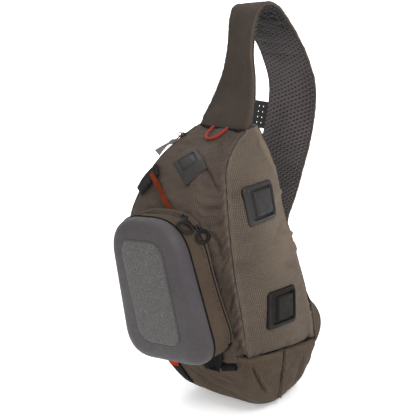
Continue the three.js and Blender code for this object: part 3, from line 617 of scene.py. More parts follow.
def inflate(points, sewn, pressure):
    # how far each point of a grid moves when air is blown under it
    mesh = bpy.data.meshes.new("inflating")
    mesh.from_pydata((points.reshape(-1, 3) * mm).tolist(), [], gridQuads(*points.shape[:2]).tolist())
    sheet = putInScene("inflating", mesh)
    held = sheet.vertex_groups.new(name="sewnDown")
    held.add(np.flatnonzero(sewn).tolist(), 1.0, "REPLACE")
    cloth = sheet.modifiers.new("cloth", "CLOTH")
    cloth.settings.vertex_group_mass = "sewnDown"
    cloth.settings.use_pressure = True
    cloth.settings.uniform_pressure_force = pressure
    cloth.settings.effector_weights.gravity = 0
    cloth.collision_settings.use_collision = False
    cloth.point_cache.frame_start = 1
    cloth.point_cache.frame_end = clothSpec["frames"]
    scene = bpy.context.scene
    for number in range(1, clothSpec["frames"] + 1):
        scene.frame_set(number)
    ready = sheet.evaluated_get(bpy.context.evaluated_depsgraph_get())
    ended = np.zeros(len(mesh.vertices) * 3, np.float32)
    ready.data.vertices.foreach_get("co", ended)
    scene.frame_set(1)
    bpy.data.objects.remove(sheet)
    moved = ended.reshape(points.shape) / mm - points
    far = np.linalg.norm(moved, axis=2, keepdims=True)
    return moved * np.minimum(1, clothSpec["most"] / np.maximum(far, 1e-6))


def spreadOver(values, rowsAt, colsAt, newRows, newCols):
    # values of a coarse grid on a finer one
    tall = np.stack([np.interp(newRows, rowsAt, values[:, k]) for k in range(values.shape[1])], 1)
    return np.stack([np.interp(newCols, colsAt, row) for row in tall])


# Geometry nodes: small parts set along sewn lines


sewSizes = ("Spacing", "Along", "Across", "High")
sewNodes = {
    "start": ("NodeGroupInput", {}), "end": ("NodeGroupOutput", {}),
    "toCurve": ("GeometryNodeMeshToCurve", {}), "resample": ("GeometryNodeResampleCurve", {"mode": "LENGTH"}),
    "tangent": ("GeometryNodeInputTangent", {}),
    "facing": ("GeometryNodeInputNamedAttribute", {"data_type": "FLOAT_VECTOR"}),
    "alongTurn": ("FunctionNodeAlignRotationToVector", {"axis": "X"}),
    "outTurn": ("FunctionNodeAlignRotationToVector", {"axis": "Z", "pivot_axis": "X"}),
    "bead": ("GeometryNodeMeshIcoSphere", {}), "size": ("ShaderNodeCombineXYZ", {}),
    "shape": ("GeometryNodeTransform", {}), "spread": ("GeometryNodeInstanceOnPoints", {}),
    "real": ("GeometryNodeRealizeInstances", {}), "smooth": ("GeometryNodeSetShadeSmooth", {}),
    "paint": ("GeometryNodeSetMaterial", {}),
}
sewValues = [("facing", "Name", "facing"), ("bead", "Radius", 0.5), ("bead", "Subdivisions", 2)]
sewLinks = [
    ("start", "Geometry", "toCurve", "Mesh"), ("toCurve", "Curve", "resample", "Curve"),
    ("start", "Spacing", "resample", "Length"), ("tangent", 0, "alongTurn", "Vector"),
    ("alongTurn", 0, "outTurn", "Rotation"), ("facing", "Attribute", "outTurn", "Vector"),
    ("start", "Along", "size", 0), ("start", "Across", "size", 1), ("start", "High", "size", 2),
    ("bead", "Mesh", "shape", "Geometry"), ("size", 0, "shape", "Scale"),
    ("resample", "Curve", "spread", "Points"), ("shape", "Geometry", "spread", "Instance"),
    ("outTurn", 0, "spread", "Rotation"), ("spread", 0, "real", 0), ("real", 0, "smooth", 0),
    ("smooth", 0, "paint", "Geometry"), ("start", "Finish", "paint", "Material"), ("paint", 0, "end", 0),
]


def runTree(name):
    tree = bpy.data.node_groups.new(name, "GeometryNodeTree")
    sockets = [("Geometry", "INPUT", "NodeSocketGeometry")]
    sockets += [(label, "INPUT", "NodeSocketFloat") for label in sewSizes]
    sockets += [("Finish", "INPUT", "NodeSocketMaterial"), ("Geometry", "OUTPUT", "NodeSocketGeometry")]
    for label, way, kind in sockets:
        tree.interface.new_socket(label, in_out=way, socket_type=kind)
    nodes = {}
    for label, (kind, settings) in sewNodes.items():
        nodes[label] = tree.nodes.new(kind)
        for key, value in settings.items():
            setattr(nodes[label], key, value)
    for label, socket, value in sewValues:
        nodes[label].inputs[socket].default_value = value
    for source, output, target, socket in sewLinks:
        tree.links.new(nodes[source].outputs[output], nodes[target].inputs[socket])
    return tree


sewTree = runTree("setAlongLine")


def setAlong(name, lines, spec, slot):
    # lines is a list of (points, outward directions); spec gives the sizes in millimetres
    mesh = bpy.data.meshes.new(name + "Guide")
    points = np.concatenate([np.asarray(p, float) for p, _ in lines]) * mm
    edges, start = [], 0
    for path, _ in lines:
        edges += [(start + k, start + k + 1) for k in range(len(path) - 1)]
        start += len(path)
    mesh.from_pydata(points.tolist(), edges, [])
    facing = mesh.attributes.new("facing", "FLOAT_VECTOR", "POINT")
    outs = unit(np.concatenate([np.asarray(o, float) for _, o in lines]))
    facing.data.foreach_set("vector", outs.astype(np.float32).ravel())
    guide = putInScene(name + "Guide", mesh)
    run = guide.modifiers.new("run", "NODES")
    run.node_group = sewTree
    sizes = {s.name: s.identifier for s in sewTree.interface.items_tree if s.in_out == "INPUT"}
    for label in sewSizes:
        run[sizes[label]] = spec[label.lower()] * mm
    run[sizes["Finish"]] = finishes[spec["finish"]]
    bpy.context.view_layer.update()
    ready = guide.evaluated_get(bpy.context.evaluated_depsgraph_get())
    result = bpy.data.meshes.new_from_object(ready)
    guide.modifiers.remove(run)
    bpy.data.objects.remove(guide)
    result.name = name
    return dress(putInScene(name, result), slot)


seamStitch = {"spacing": 4.2, "along": 3.0, "across": 0.8, "high": 0.55, "finish": "brownThread"}
meshStitch = {"spacing": 4.0, "along": 2.9, "across": 0.8, "high": 0.6, "finish": "greyThread"}
edgeStitch = {"spacing": 3.4, "along": 1.5, "across": 6.4, "high": 0.9, "finish": "edgeThread"}
coilTooth = {"spacing": 1.9, "along": 1.3, "across": 4.6, "high": 1.5, "finish": "zipCoil"}

# Bag surface: u runs 0..4 round the front, right, back and left, v runs up the levels
# Columns: half widths right and left, front y and z, back half widths, back y and z, three swells and
# the corner radius

bagLevels = np.array([
    [66, 64, -15, 0, 66, 64, 63, 0, 3, 2, 1, 34],
    [90, 86, -46, 36, 87, 84, 73, 26, 8, 6, 4, 26],
    [104, 100, -75, 128, 106, 102, 79, 84, 11, 8, 6, 0],
    [107, 102, -77, 190, 107, 102, 74, 165, 14, 9, 6, 0],
    [106, 100, -76, 258, 101, 97, 70, 240, 15, 9, 6, 0],
    [103, 96, -69, 317, 93, 88, 67, 305, 15, 9, 6, 0],
    [93, 75, -52, 366, 88.5, 78, 70, 358, 14, 8, 5, 0],
    [78, 55, -28, 402, 77.5, 67, 73.5, 394, 12, 6, 4, 0],
    [62, 45.5, 10, 419, 64, 54, 79, 411, 8, 4, 2, 0],
    [48, 43, 59, 428, 52, 46, 84, 427, 3, 1, 0, 0],
], float)
sideFacing = np.array([[0, -1, 0], [1, 0, 0], [0, 1, 0], [-1, 0, 0]], float)


def bagPoint(u, v):
    u, v = np.broadcast_arrays(np.asarray(u, float), np.asarray(v, float))
    xr, xl, yf, zf, xb, xbl, yb, zb, sf, ss, sb, rd = np.moveaxis(smoothRows(bagLevels, v), -1, 0)
    corner = np.stack([
        np.stack([-xl, yf, zf], -1), np.stack([xr, yf, zf], -1),
        np.stack([xb, yb, zb], -1), np.stack([-xbl, yb, zb], -1),
    ], -2)
    swell = np.stack([sf, ss, sb, ss], -1)

    def pick(values, k):
        index = (k % 4)[..., None]
        if values.ndim > index.ndim:
            return np.take_along_axis(values, index[..., None], -2)[..., 0, :]
        return np.take_along_axis(values, index, -1)[..., 0]

    def onSide(k, t):
        t = t[..., None]
        bulge = 4 * pick(swell, k)[..., None] * t * (1 - t)
        return pick(corner, k) * (1 - t) + pick(corner, k + 1) * t + sideFacing[k % 4] * bulge

    def span(k):
        return np.linalg.norm(pick(corner, k + 1) - pick(corner, k), axis=-1)

    side = np.clip(np.floor(u).astype(int), 0, 3)
    t = u - side
    plain = onSide(side, t)
    starts = t <= 0.5
    near = np.where(starts, t, 1 - t)
    reach = np.maximum(rd / span(side), 1e-6)
    before = np.where(starts, side - 1, side)
    w = np.where(starts, 0.5 + 0.5 * near / reach, 0.5 - 0.5 * near / reach)[..., None]
    a = onSide(before, 1 - rd / span(before))
    b = onSide(before + 1, rd / span(before + 1))
    bend = (1 - w) ** 2 * a + 2 * w * (1 - w) * pick(corner, before + 1) + w**2 * b
    return np.where(((near < reach) & (rd >= 0.5))[..., None], bend, plain)


def bagFacing(u, v):
    # outward direction inside one side
    u, v = np.broadcast_arrays(np.asarray(u, float), np.asarray(v, float))
    side = np.clip(np.floor(u), 0, 3)
    left, right = np.maximum(u - 0.004, side), np.minimum(u + 0.004, side + 1 - 1e-6)
    low, high = np.maximum(v - 0.004, 0), np.minimum(v + 0.004, len(bagLevels) - 1)
    return unit(np.cross(bagPoint(right, v) - bagPoint(left, v), bagPoint(u, high) - bagPoint(u, low)))


def seamFacing(u, v):
    # outward direction on a seam between two sides
    before = np.where(np.asarray(u) > 0.001, u - 0.002, 3.998)
    return unit(bagFacing(before, v) + bagFacing(np.asarray(u) + 0.002, v))


levelFine = np.linspace(0, len(bagLevels) - 1, 1200)
frontFine = smoothRows(bagLevels, levelFine)


def frontPlace(x, z):
    v = np.interp(z, frontFine[:, 3], levelFine)
    row = smoothRows(bagLevels, v)
    return (x + row[..., 1]) / (row[..., 0] + row[..., 1]), v


panelSpec = {
    "low": 2.0, "high": 8.985, "thick": 1.8, "seamDip": 1.9, "seamWidth": 2.6, "plateSoft": 16,
    "wearAt": 3.5, "wearReach": 5.0, "calmReach": 10,
}


def panelGrid(side, low, high, cols, rows):
    v = np.linspace(np.broadcast_to(low, cols + 1), high, rows + 1)
    t = np.broadcast_to(np.linspace(0, 1, cols + 1), v.shape)
    points = bagPoint(side + np.minimum(t, 1 - 1e-7), v)
    x, y = runLength(points, 1), runLength(points, 0)
    x -= x[:, -1:] / 2
    facing = gridNormals(points)
    for gap, seam, col in ((x - x[:, :1], side, 0), (x[:, -1:] - x, side + 1, -1)):
        mitre = seamFacing(float(seam % 4), v[:, 0])
        mitre /= np.sum(mitre * facing[:, col], 1, keepdims=True)
        share = np.exp(-(gap / 8) ** 2)[..., None]
        facing = facing * (1 - share) + mitre[:, None] * share
    return {"t": t, "v": v, "points": points, "x": x, "y": y, "facing": facing}


def panelRoute(grid, places):
    # panel shares and levels to millimetres on the cloth
    rows, cols = grid["t"].shape
    found = []
    for t, v in places:
        r = int(round(np.interp(v, grid["v"][:, 0], np.arange(rows))))
        c = int(round(t * (cols - 1)))
        found.append((grid["x"][r, c], grid["y"][r, c]))
    return np.array(found)


def pressedLine(x, y, route, depth, width, fade, ridge):
    # a pressed groove with a soft ridge on one side, fading at its ends
    away, share, side = distanceTo(x, y, route)
    ends = np.clip(np.minimum(share, 1 - share) / fade, 0, 1) ** 0.5
    high, far, soft = ridge
    raised = high * depth * np.exp(-((away - far * width) / (soft * width)) ** 2) * (side > 0)
    return ends * (raised - depth * np.exp(-(away / width) ** 2))


creaseSpec = {"fade": 0.35, "ridge": (0.6, 2.2, 1.6)}  # the ridge's height, distance and softness


def crease(grid, places, depth, width):
    route = panelRoute(grid, places)
    return pressedLine(grid["x"], grid["y"], route, depth, width, creaseSpec["fade"], creaseSpec["ridge"])


def edgeGaps(grid):
    x, y = grid["x"], grid["y"]
    return {"left": x - x[:, :1], "right": x[:, -1:] - x, "bottom": y, "top": y[-1:] - y}


def insideSeams(gaps):
    # 0 on the side seams and 1 away from them
    return np.clip(np.minimum(gaps["left"], gaps["right"]) / panelSpec["calmReach"], 0, 1)


def nearestEdge(gaps):
    return np.minimum.reduce(list(gaps.values()))


def pucker(gap, run, reach, wave, height, seed):
    # small gathers that run out from a sewn edge
    held = 1 - np.exp(-(gap / 3.0) ** 2)
    return height * held * np.exp(-gap / reach) * softNoise(run, gap * 0.15, wave, seed)


def flatNear(grid, u, v, half):
    # 0 under a stiff plate and 1 away from it
    spot = panelRoute(grid, [(u, v)])[0]
    away = np.maximum(np.abs(grid["x"] - spot[0]), np.abs(grid["y"] - spot[1])) - half
    return np.clip(away / panelSpec["plateSoft"], 0, 1)


def seamWear(gaps, names):
    middle, reach = panelSpec["wearAt"], panelSpec["wearReach"]
    return np.max([np.exp(-((gaps[n] - middle) / reach) ** 2) for n in names], axis=0)


def lighterPatchNear(grid, t, v, wide, tall):
    # a soft lighter patch on the cloth
    return np.exp(-((grid["t"] - t) / wide) ** 2 - ((grid["v"] - v) / tall) ** 2)


def seamDips(gaps, names):
    depth, width = panelSpec["seamDip"], panelSpec["seamWidth"]
    return -depth * np.max([np.exp(-(gaps[n] / width) ** 2) for n in names], axis=0)


def sewPanel(name, grid, lift, finish, slot, node, wearAndPaintedLight=None, thick=None):
    outer = grid["points"] + grid["facing"] * lift[..., None]
    uv = np.stack([grid["x"], grid["y"]], -1)
    marks = np.zeros(lift.shape) if wearAndPaintedLight is None else wearAndPaintedLight
    return sheetPiece(name, outer, thick or panelSpec["thick"], finish, uv, slot, node, wearAndPaintedLight=marks)


frontPlateAt = (0.53, 7.14)
frontSpec = {
    "cols": 110, "rows": 210, "sag": 0.14, "sagLift": 4.6, "sagReach": 9, "plateHalf": 24,
    "broad": 2.0, "broadSize": 70, "fine": 0.8, "fineSize": 26, "seamWear": 0.7, "fade": 0.5,
}
frontCreases = [  # places by share and level, depth and width
    ([(0.60, 7.60), (0.80, 6.95), (0.97, 6.30)], 3.2, 2.2),
    ([(0.66, 8.6), (0.84, 7.9), (0.97, 7.5)], 2.4, 3.6),
    ([(0.98, 6.05), (0.86, 5.85), (0.74, 5.80)], 3.0, 3.2),
    ([(0.98, 5.62), (0.88, 5.40), (0.80, 5.32)], 2.8, 2.8),
    ([(0.78, 5.45), (0.88, 5.0), (0.92, 4.5)], 3.2, 4.2),
    ([(0.98, 4.6), (0.92, 4.35), (0.88, 4.2)], 2.6, 3.0),
    ([(0.98, 3.7), (0.93, 3.5), (0.89, 3.3)], 2.6, 3.2),
    ([(0.985, 2.60), (0.94, 2.38), (0.88, 2.30)], 3.4, 2.8),
    ([(0.90, 2.85), (0.94, 2.5), (0.985, 2.1)], 3.0, 3.2),
]


def frontWall():
    s = frontSpec
    share = np.linspace(0, 1, s["cols"] + 1)
    hang = step(share, 0.66, 0.8) * (1 - step(share, 0.9, 0.985))  # the lower right corner sags over the boot
    grid = panelGrid(0, panelSpec["low"] - s["sag"] * hang, panelSpec["high"], s["cols"], s["rows"])
    gaps, x, y = edgeGaps(grid), grid["x"], grid["y"]
    lift = seamDips(gaps, ("right", "bottom"))
    lift += s["sagLift"] * hang * np.exp(-(gaps["bottom"] / s["sagReach"]) ** 2)
    lift += pucker(gaps["right"], y, 24, 17, 2.2, 3) + pucker(gaps["left"], y, 14, 15, 0.9, 4)
    lift += pucker(gaps["bottom"], x, 16, 14, 1.5, 5)
    calm = flatNear(grid, *frontPlateAt, s["plateHalf"]) * insideSeams(gaps)
    waves = softNoise(x, y, s["broadSize"], 6, (0.8, 1.3)) - 0.8
    lift += s["broad"] * calm * np.minimum(waves, 0.4)
    lift += s["fine"] * calm * (softNoise(x, y, s["fineSize"], 7, (1.6, 0.7)) - 0.6)
    for places, depth, width in frontCreases:
        lift += crease(grid, places, depth, width)
    wearAndPaintedLight = s["seamWear"] * seamWear(gaps, ("left", "right")) * (1 - 0.6 * step(grid["v"], 6.4, 7.2))
    # a soft lighter patch on the front panel
    wearAndPaintedLight += s["fade"] * lighterPatchNear(grid, 0.58, 6.1, 0.3, 0.55)
    sewPanel("frontWall", grid, lift, "frontCloth", "front_cloth", "front_panel", wearAndPaintedLight)


# the last three settings paint parts of the side panels lighter: painted light
sideSpec = {
    "cols": 84, "rows": 210, "foldDepth": 3.6, "foldWidth": 6.2, "broad": 2.4, "broadSize": 95,
    "fine": 0.8, "fineSize": 34, "rearSeamWear": 0.6, "foreSeamWear": 0.3, "fade": 0.62,
    "rearPaintedLight": 0.4, "topPaintedLight": 0.3,
}


def sideWall(name, side, node, plates, folds, sewn, seed):
    s = sideSpec
    grid = panelGrid(side, panelSpec["low"], panelSpec["high"], s["cols"], s["rows"])
    gaps, x, y = edgeGaps(grid), grid["x"], grid["y"]
    lift = seamDips(gaps, sewn)
    lift += pucker(gaps["left"], y, 16, 13, 1.7, seed) + pucker(gaps["right"], y, 20, 16, 2.0, seed + 1)
    lift += pucker(gaps["bottom"], x, 14, 15, 1.4, seed + 2)
    calm = np.ones(lift.shape)
    for t, v, half in plates:
        calm = np.minimum(calm, flatNear(grid, t, v, half))
    for places in folds:
        lift += calm * crease(grid, places, s["foldDepth"], s["foldWidth"])
    calm = calm * insideSeams(gaps)
    waves = softNoise(x, y, s["broadSize"], seed + 3, (1.6, 0.8)) - 0.9
    lift += s["broad"] * calm * np.minimum(waves, 0.35)
    lift += s["fine"] * calm * (softNoise(x, y, s["fineSize"], seed + 4, (1.7, 0.6)) - 0.5)
    wearAndPaintedLight = s["rearSeamWear"] * seamWear(gaps, ("right",)) + s["foreSeamWear"] * seamWear(gaps, ("left",))
    # painted light: the panel is painted lighter towards its right edge, in a patch near that edge and at the
    # top, where light falls on it
    rear = step(grid["t"], 0.3, 0.75)
    wearAndPaintedLight += s["fade"] * lighterPatchNear(grid, 0.9, 5.0, 0.34, 1.2) + s["rearPaintedLight"] * rear
    wearAndPaintedLight += s["topPaintedLight"] * step(grid["v"], 6.0, 7.4) * (1 - rear)
    sewPanel(name, grid, lift, "sideCloth", "side_cloth", node, np.minimum(wearAndPaintedLight, 1))


frontWall()
rightPlates = [(0.5, 5.58, 31), (0.51, 3.02, 31)]
rightFolds = [
    [(0.02, 5.05), (0.25, 4.9), (0.52, 4.92)], [(0.02, 4.3), (0.22, 4.12), (0.42, 4.15)],
    [(0.98, 4.7), (0.8, 4.5), (0.6, 4.42)], [(0.98, 3.55), (0.86, 3.72), (0.7, 3.85)],
    [(0.03, 6.3), (0.16, 6.05), (0.28, 5.9)],
]
leftFolds = [
    [(0.98, 5.6), (0.7, 5.2), (0.45, 5.1)], [(0.97, 4.2), (0.75, 3.9), (0.5, 3.95)],
    [(0.03, 3.6), (0.25, 3.3), (0.5, 3.2)],
]
sideWall("rightWall", 1, "right_side_panel", rightPlates, rightFolds, ("left", "right", "bottom"), 20)
sideWall("leftWall", 3, "left_side_panel", [], leftFolds, ("left", "bottom"), 40)
print("cloth walls sewn")

# Padded back with quilted channels

backPad = {
    "thick": 8.0, "channels": (-52, -18, 18, 52), "span": 104, "channelDepth": 1.6, "channelWidth": 2.4,
    "border": 13, "puff": 4.6, "pressure": 40.0,
}


def backPuff(grid):
    # the quilted back, held at its edges, its border seam and its channels
    coarse = panelGrid(2, panelSpec["low"], panelSpec["high"], 60, 84)
    gaps, half = edgeGaps(coarse), coarse["x"][:, -1:]
    edge = nearestEdge(gaps)
    sewn = (edge < 4) | (np.abs(edge - backPad["border"]) < 2.2)
    for k in backPad["channels"]:
        sewn |= (np.abs(coarse["x"] - k * half / backPad["span"]) < 2.0) & (edge > backPad["border"])
    rise = np.sum(inflate(coarse["points"], sewn, backPad["pressure"]) * coarse["facing"], 2)
    rise *= backPad["puff"] / max(np.percentile(rise, 98), 0.5)
    return spreadOver(rise, coarse["v"][:, 0], coarse["t"][0], grid["v"][:, 0], grid["t"][0])


def backWall():
    grid = panelGrid(2, panelSpec["low"], panelSpec["high"], 110, 190)
    gaps, x, y = edgeGaps(grid), grid["x"], grid["y"]
    half = grid["x"][:, -1:]
    edge = nearestEdge(gaps)
    lift = seamDips(gaps, ("left", "right", "bottom"))
    lift += backPuff(grid)
    lift -= 1.2 * np.exp(-((edge - backPad["border"]) / 2.0) ** 2)
    inside = np.clip((edge - backPad["border"]) / 8, 0, 1)
    for k in backPad["channels"]:
        line = k * half / backPad["span"]
        lift -= backPad["channelDepth"] * inside * np.exp(-((x - line) / backPad["channelWidth"]) ** 2)
    lift += 0.3 * softNoise(x, y, 40, 60)
    made = sewPanel("backWall", grid, lift, "spacerMesh", "spacer_mesh", "back_panel", thick=backPad["thick"])


backWall()
print("back padded")

# Boot: the lower bowl with pleats and a flat base

bootSpec = {"cols": 360, "rows": 64, "top": 1.994, "thick": 2.4, "ridge": (0.7, 2.0, 1.5)}
bootFolds = [  # places round and up the bowl, depth, width and fade at the ends; the first two are sewn darts
    ([(1.47, 1.97), (1.37, 1.35), (1.28, 0.65)], 3.4, 1.5, 0.02),
    ([(3.53, 1.97), (3.63, 1.35), (3.72, 0.65)], 3.4, 1.5, 0.02),
    ([(1.02, 1.84), (1.05, 1.5), (1.10, 1.15)], 5.4, 2.4, 0.25),
    ([(0.98, 1.9), (0.90, 1.5), (0.86, 1.1)], 2.0, 3.6, 0.25),
    ([(0.30, 1.5), (0.5, 1.2), (0.72, 1.1)], 2.0, 4.2, 0.25),
    ([(0.45, 1.55), (0.62, 1.38), (0.84, 1.34)], 1.8, 3.6, 0.25),
    ([(0.35, 1.1), (0.6, 0.8), (0.85, 0.75)], 1.8, 4.0, 0.25),
    ([(1.75, 1.7), (1.7, 1.3), (1.62, 0.9)], 1.7, 3.6, 0.25),
    ([(1.20, 1.2), (1.22, 0.9), (1.20, 0.6)], 1.4, 4.0, 0.25),
]


def bootBowl():
    cols = bootSpec["cols"]
    u, v = np.meshgrid(np.arange(cols) / cols * 4, np.linspace(0, bootSpec["top"], bootSpec["rows"] + 1))
    points = bagPoint(u, v)
    x, y = runLength(points, 1), runLength(points, 0)
    wrap = np.concatenate([points[:, -1:], points, points[:, :1]], 1)
    normal = gridNormals(wrap)[:, 1:-1]

    def route(places):
        found = []
        for pu, pv in places:
            r = int(round(np.interp(pv, v[:, 0], np.arange(len(v)))))
            c = int(round(pu / 4 * cols)) % cols
            found.append((x[r, c], y[r, c]))
        return np.array(found)

    top = y[-1:] - y
    lift = -2.2 * np.exp(-(top / 3.0) ** 2)
    lift += 1.0 * np.exp(-top / 16) * softNoise(x, top * 0.15, 16, 70)
    for places, depth, width, fade in bootFolds:
        lift += pressedLine(x, y, route(places), depth, width, fade, bootSpec["ridge"])
    lift += np.minimum(1.0 * (softNoise(x, y, 60, 71) - 0.7), 0.5)
    lift *= np.clip(y / 12, 0, 1)
    outer = points + normal * lift[..., None]
    outer[..., 2] = np.maximum(outer[..., 2], 0)
    outer[0, :, 2] = 0
    inner = outer - normal * bootSpec["thick"]
    inner[..., 2] = np.maximum(inner[..., 2], bootSpec["thick"])
    rings = np.concatenate([outer, inner[::-1]])
    wearAndPaintedLight = np.concatenate([np.exp(-((top - 3.5) / 5) ** 2), np.zeros(top.shape)])
    tubePiece("bootBowl", rings, "bootCloth", "side_cloth", "boot", wearAndPaintedLight=0.5 * wearAndPaintedLight)


bootBowl()
print("boot sewn")

# Stitched seams


def bagLine(u, v, lift):
    # a line on the bag's surface and its outward directions
    facing = bagFacing(u, v)
    return bagPoint(u, v) + facing * lift, facing


def seamLine(u, low, high, lift):
    return bagLine(u, np.linspace(low, high, 120), lift)


def hoopLine(v, low, high, lift):
    return bagLine(np.linspace(low, high, 160), v, lift)


def bagStitches():
    lines = []
    for u in (1.028, 1.972, 2.972, 3.035):
        lines.append(seamLine(u, 2.06, 8.9, -0.15))
    for side in (1, 3):
        lines.append(hoopLine(1.94, side + 0.03, side + 0.97, -0.6))
    lines.append(hoopLine(2.075, 1.03, 1.97, -0.1))
    setAlong("bagStitches", lines, seamStitch, "side_cloth")
    back = [hoopLine(2.3, 2.06, 2.94, 0.0), seamLine(2.07, 2.3, 8.6, 0.0), seamLine(2.93, 2.3, 8.6, 0.0)]
    setAlong("backStitches", back, meshStitch, "spacer_mesh")


bagStitches()

seamShadeCord = {"radius": 0.55, "sink": 1.75, "ridge": 1.4, "dart": 0.6, "dartSink": 1.55, "hem": 1.3}
bootDarts = {
    "Right": [(1.47, 1.98), (1.37, 1.35), (1.28, 0.65)], "Left": [(3.53, 1.98), (3.63, 1.35), (3.72, 0.65)],
}


# dark cords sunk in the seams and darts stand for the shade in their grooves: painted shade
def seamCords():
    s = seamShadeCord
    v = np.linspace(2.0, 8.96, 170)
    uneven = 1.2 + 0.25 * softNoise(v * 50, 0 * v, 30, 64)
    for label, u in (("FrontRight", 1.0), ("BackRight", 2.0), ("BackLeft", 3.0)):
        out = seamFacing(u, v)
        path = bagPoint(u, v) - out * s["sink"] * 1.25
        rings = roundRings(path, s["radius"] * uneven, 8, out)
        tubePiece("seamShadeCord" + label, rings, "seamThread", "side_cloth")
    out = seamFacing(0.0, v)
    path = bagPoint(0.0, v) - out * 0.5
    tubePiece("ridgePiping", roundRings(path, s["ridge"], 10, out), "frontCloth", "front_cloth")
    path, out = bagLine(np.arange(360) / 90, 1.997, -s["sink"])
    tubePiece("seamShadeCordBoot", loopRings(path, s["radius"], 8, out), "seamThread", "side_cloth", closed=True)
    for label, places in bootDarts.items():
        path, out = bagLine(*curvedPath(places, 60).T, -s["dartSink"])
        tubePiece("bootDartShadeCord" + label, roundRings(path, s["dart"], 8, out), "seamThread", "side_cloth")
    u = np.linspace(0.02, 0.98, 80)  # dark hem cord where the strap leaves the bag, partly painted contact shadow
    out = bagFacing(u, 8.97)
    path = bagPoint(u, 8.985) + out * 0.1
    tubePiece("strapHemAndShadow", roundRings(path, s["hem"], 10, out), "seamThread", "strap_cloth")


seamCords()

# Shoulder strap: x, y, z, half width, half thickness, twist in degrees, lean of the width

strapRows = np.array([
    [0, 60, 412, 46, 11, 0, 0], [0, 76, 432, 46, 10, 0, 0], [0, 94, 456, 40, 6.2, 0, 0],
    [0, 113, 488, 33, 5.2, 4, 0], [0, 126, 524, 29, 5.2, 12, 0.02], [0, 142, 562.5, 30, 5.2, 10, 0.07],
    [-1, 162, 579.5, 33, 5.2, 5, 0.11], [-2, 186, 571, 38, 5.2, 2, 0.09], [-4, 211, 531, 42, 5.2, 0, 0.03],
    [-4, 230.5, 485, 44, 5.2, 0, 0], [-5, 241, 434, 45, 5.2, 0, 0], [-9, 231.5, 384, 46, 5.2, 0, 0],
    [-10, 205, 336, 46, 5.2, 0, 0], [-2, 172, 288, 36, 5.2, 0, 0], [4, 142, 250, 28, 4.6, 0, 0],
    [21, 121, 223, 18, 4, 0, 0],
], float)
twist = np.radians(strapRows[:, 5])
strapTable = np.column_stack([strapRows[:, :5], np.cos(twist), -np.sin(twist), strapRows[:, 6]])
strapSpec = {
    "coverTop": 0.56, "liningInset": 0.4, "liningFrom": 2.0, "liningTo": 14.6, "from": 0.3,
    "crossSeams": (8.9, 10.35), "puff": 1.6, "pressure": 4.0, "gather": 0.45, "gatherReach": 0.10,
    "seamAt": 0.86, "seamDepth": 0.9, "seamSoft": 0.025, "rumple": 0.25, "edgeWear": 0.8,
    "crossDepth": 1.3, "crossSoft": 0.04, "borderAt": 0.88, "borderDepth": 0.9, "borderSoft": 0.03,
    "squeeze": 1.3, "settle": 0.4,
}


def stripFrames(table, at):
    at = np.asarray(at, float)
    values = smoothRows(table, at)
    last = len(table) - 1
    ahead = smoothRows(table, np.minimum(at + 0.004, last))
    behind = smoothRows(table, np.maximum(at - 0.004, 0))
    travel = unit(ahead[..., :3] - behind[..., :3])
    across = values[..., 5:8]
    across = unit(across - travel * np.sum(across * travel, -1, keepdims=True))
    return {
        "centre": values[..., :3], "halfWidth": values[..., 3], "halfThick": values[..., 4],
        "travel": travel, "across": across, "face": np.cross(travel, across),
    }


def power(values, exponent):
    return np.sign(values) * np.abs(values) ** exponent


def stripRings(table, at, sides, square, low=-1.0, high=1.0, inset=0.0, swell=None):
    # closed sections along a strap: low and high are shares of its half thickness
    f = stripFrames(table, at)
    angle = (np.arange(sides) + 0.5) / sides * 2 * np.pi
    wide = power(np.cos(angle), square)[None] * (f["halfWidth"][:, None] - inset)
    middle, half = (low + high) / 2, (high - low) / 2
    thick = (middle + power(np.sin(angle), square)[None] * half) * f["halfThick"][:, None]
    if swell is not None:
        thick = thick + swell(wide / f["halfWidth"][:, None], angle[None], at[:, None])
    centre, across, face = (f[key][:, None] for key in ("centre", "across", "face"))
    return centre + wide[..., None] * across + thick[..., None] * face


def stripPiece(name, table, span, count, sides, square, finish, slot, *nodes, swell=None):
    rings = stripRings(table, np.linspace(*span, count), sides, square, swell=swell)
    tubePiece(name, rings, finish, slot, *nodes)


def strapCover():
    s = strapSpec
    at = np.linspace(s["from"], len(strapTable) - 1, 330)

    def crumple(wide, angle, at):
        outer = np.sin(angle) < 0
        edge = np.exp(-((1 - np.abs(wide)) / s["gatherReach"]) ** 2)
        gather = s["gather"] * edge * softNoise(at * 36, angle * 2, 7, 80)
        seam = -s["seamDepth"] * outer * np.exp(-((np.abs(wide) - s["seamAt"]) / s["seamSoft"]) ** 2)
        return gather + seam + s["rumple"] * outer * softNoise(at * 36, wide * 40, 40, 81)

    rings = stripRings(strapTable, at, 64, 0.5, -1.0, s["coverTop"], swell=crumple)
    f = stripFrames(strapTable, at)
    reach = np.abs(np.sum((rings - f["centre"][:, None]) * f["across"][:, None], -1))
    reach = reach / f["halfWidth"][:, None]
    wearAndPaintedLight = s["edgeWear"] * np.clip((reach - 0.9) / 0.1, 0, 1)
    made = tubePiece("strapCover", rings, "strapCloth", "strap_cloth", "shoulder_strap", wearAndPaintedLight=wearAndPaintedLight)


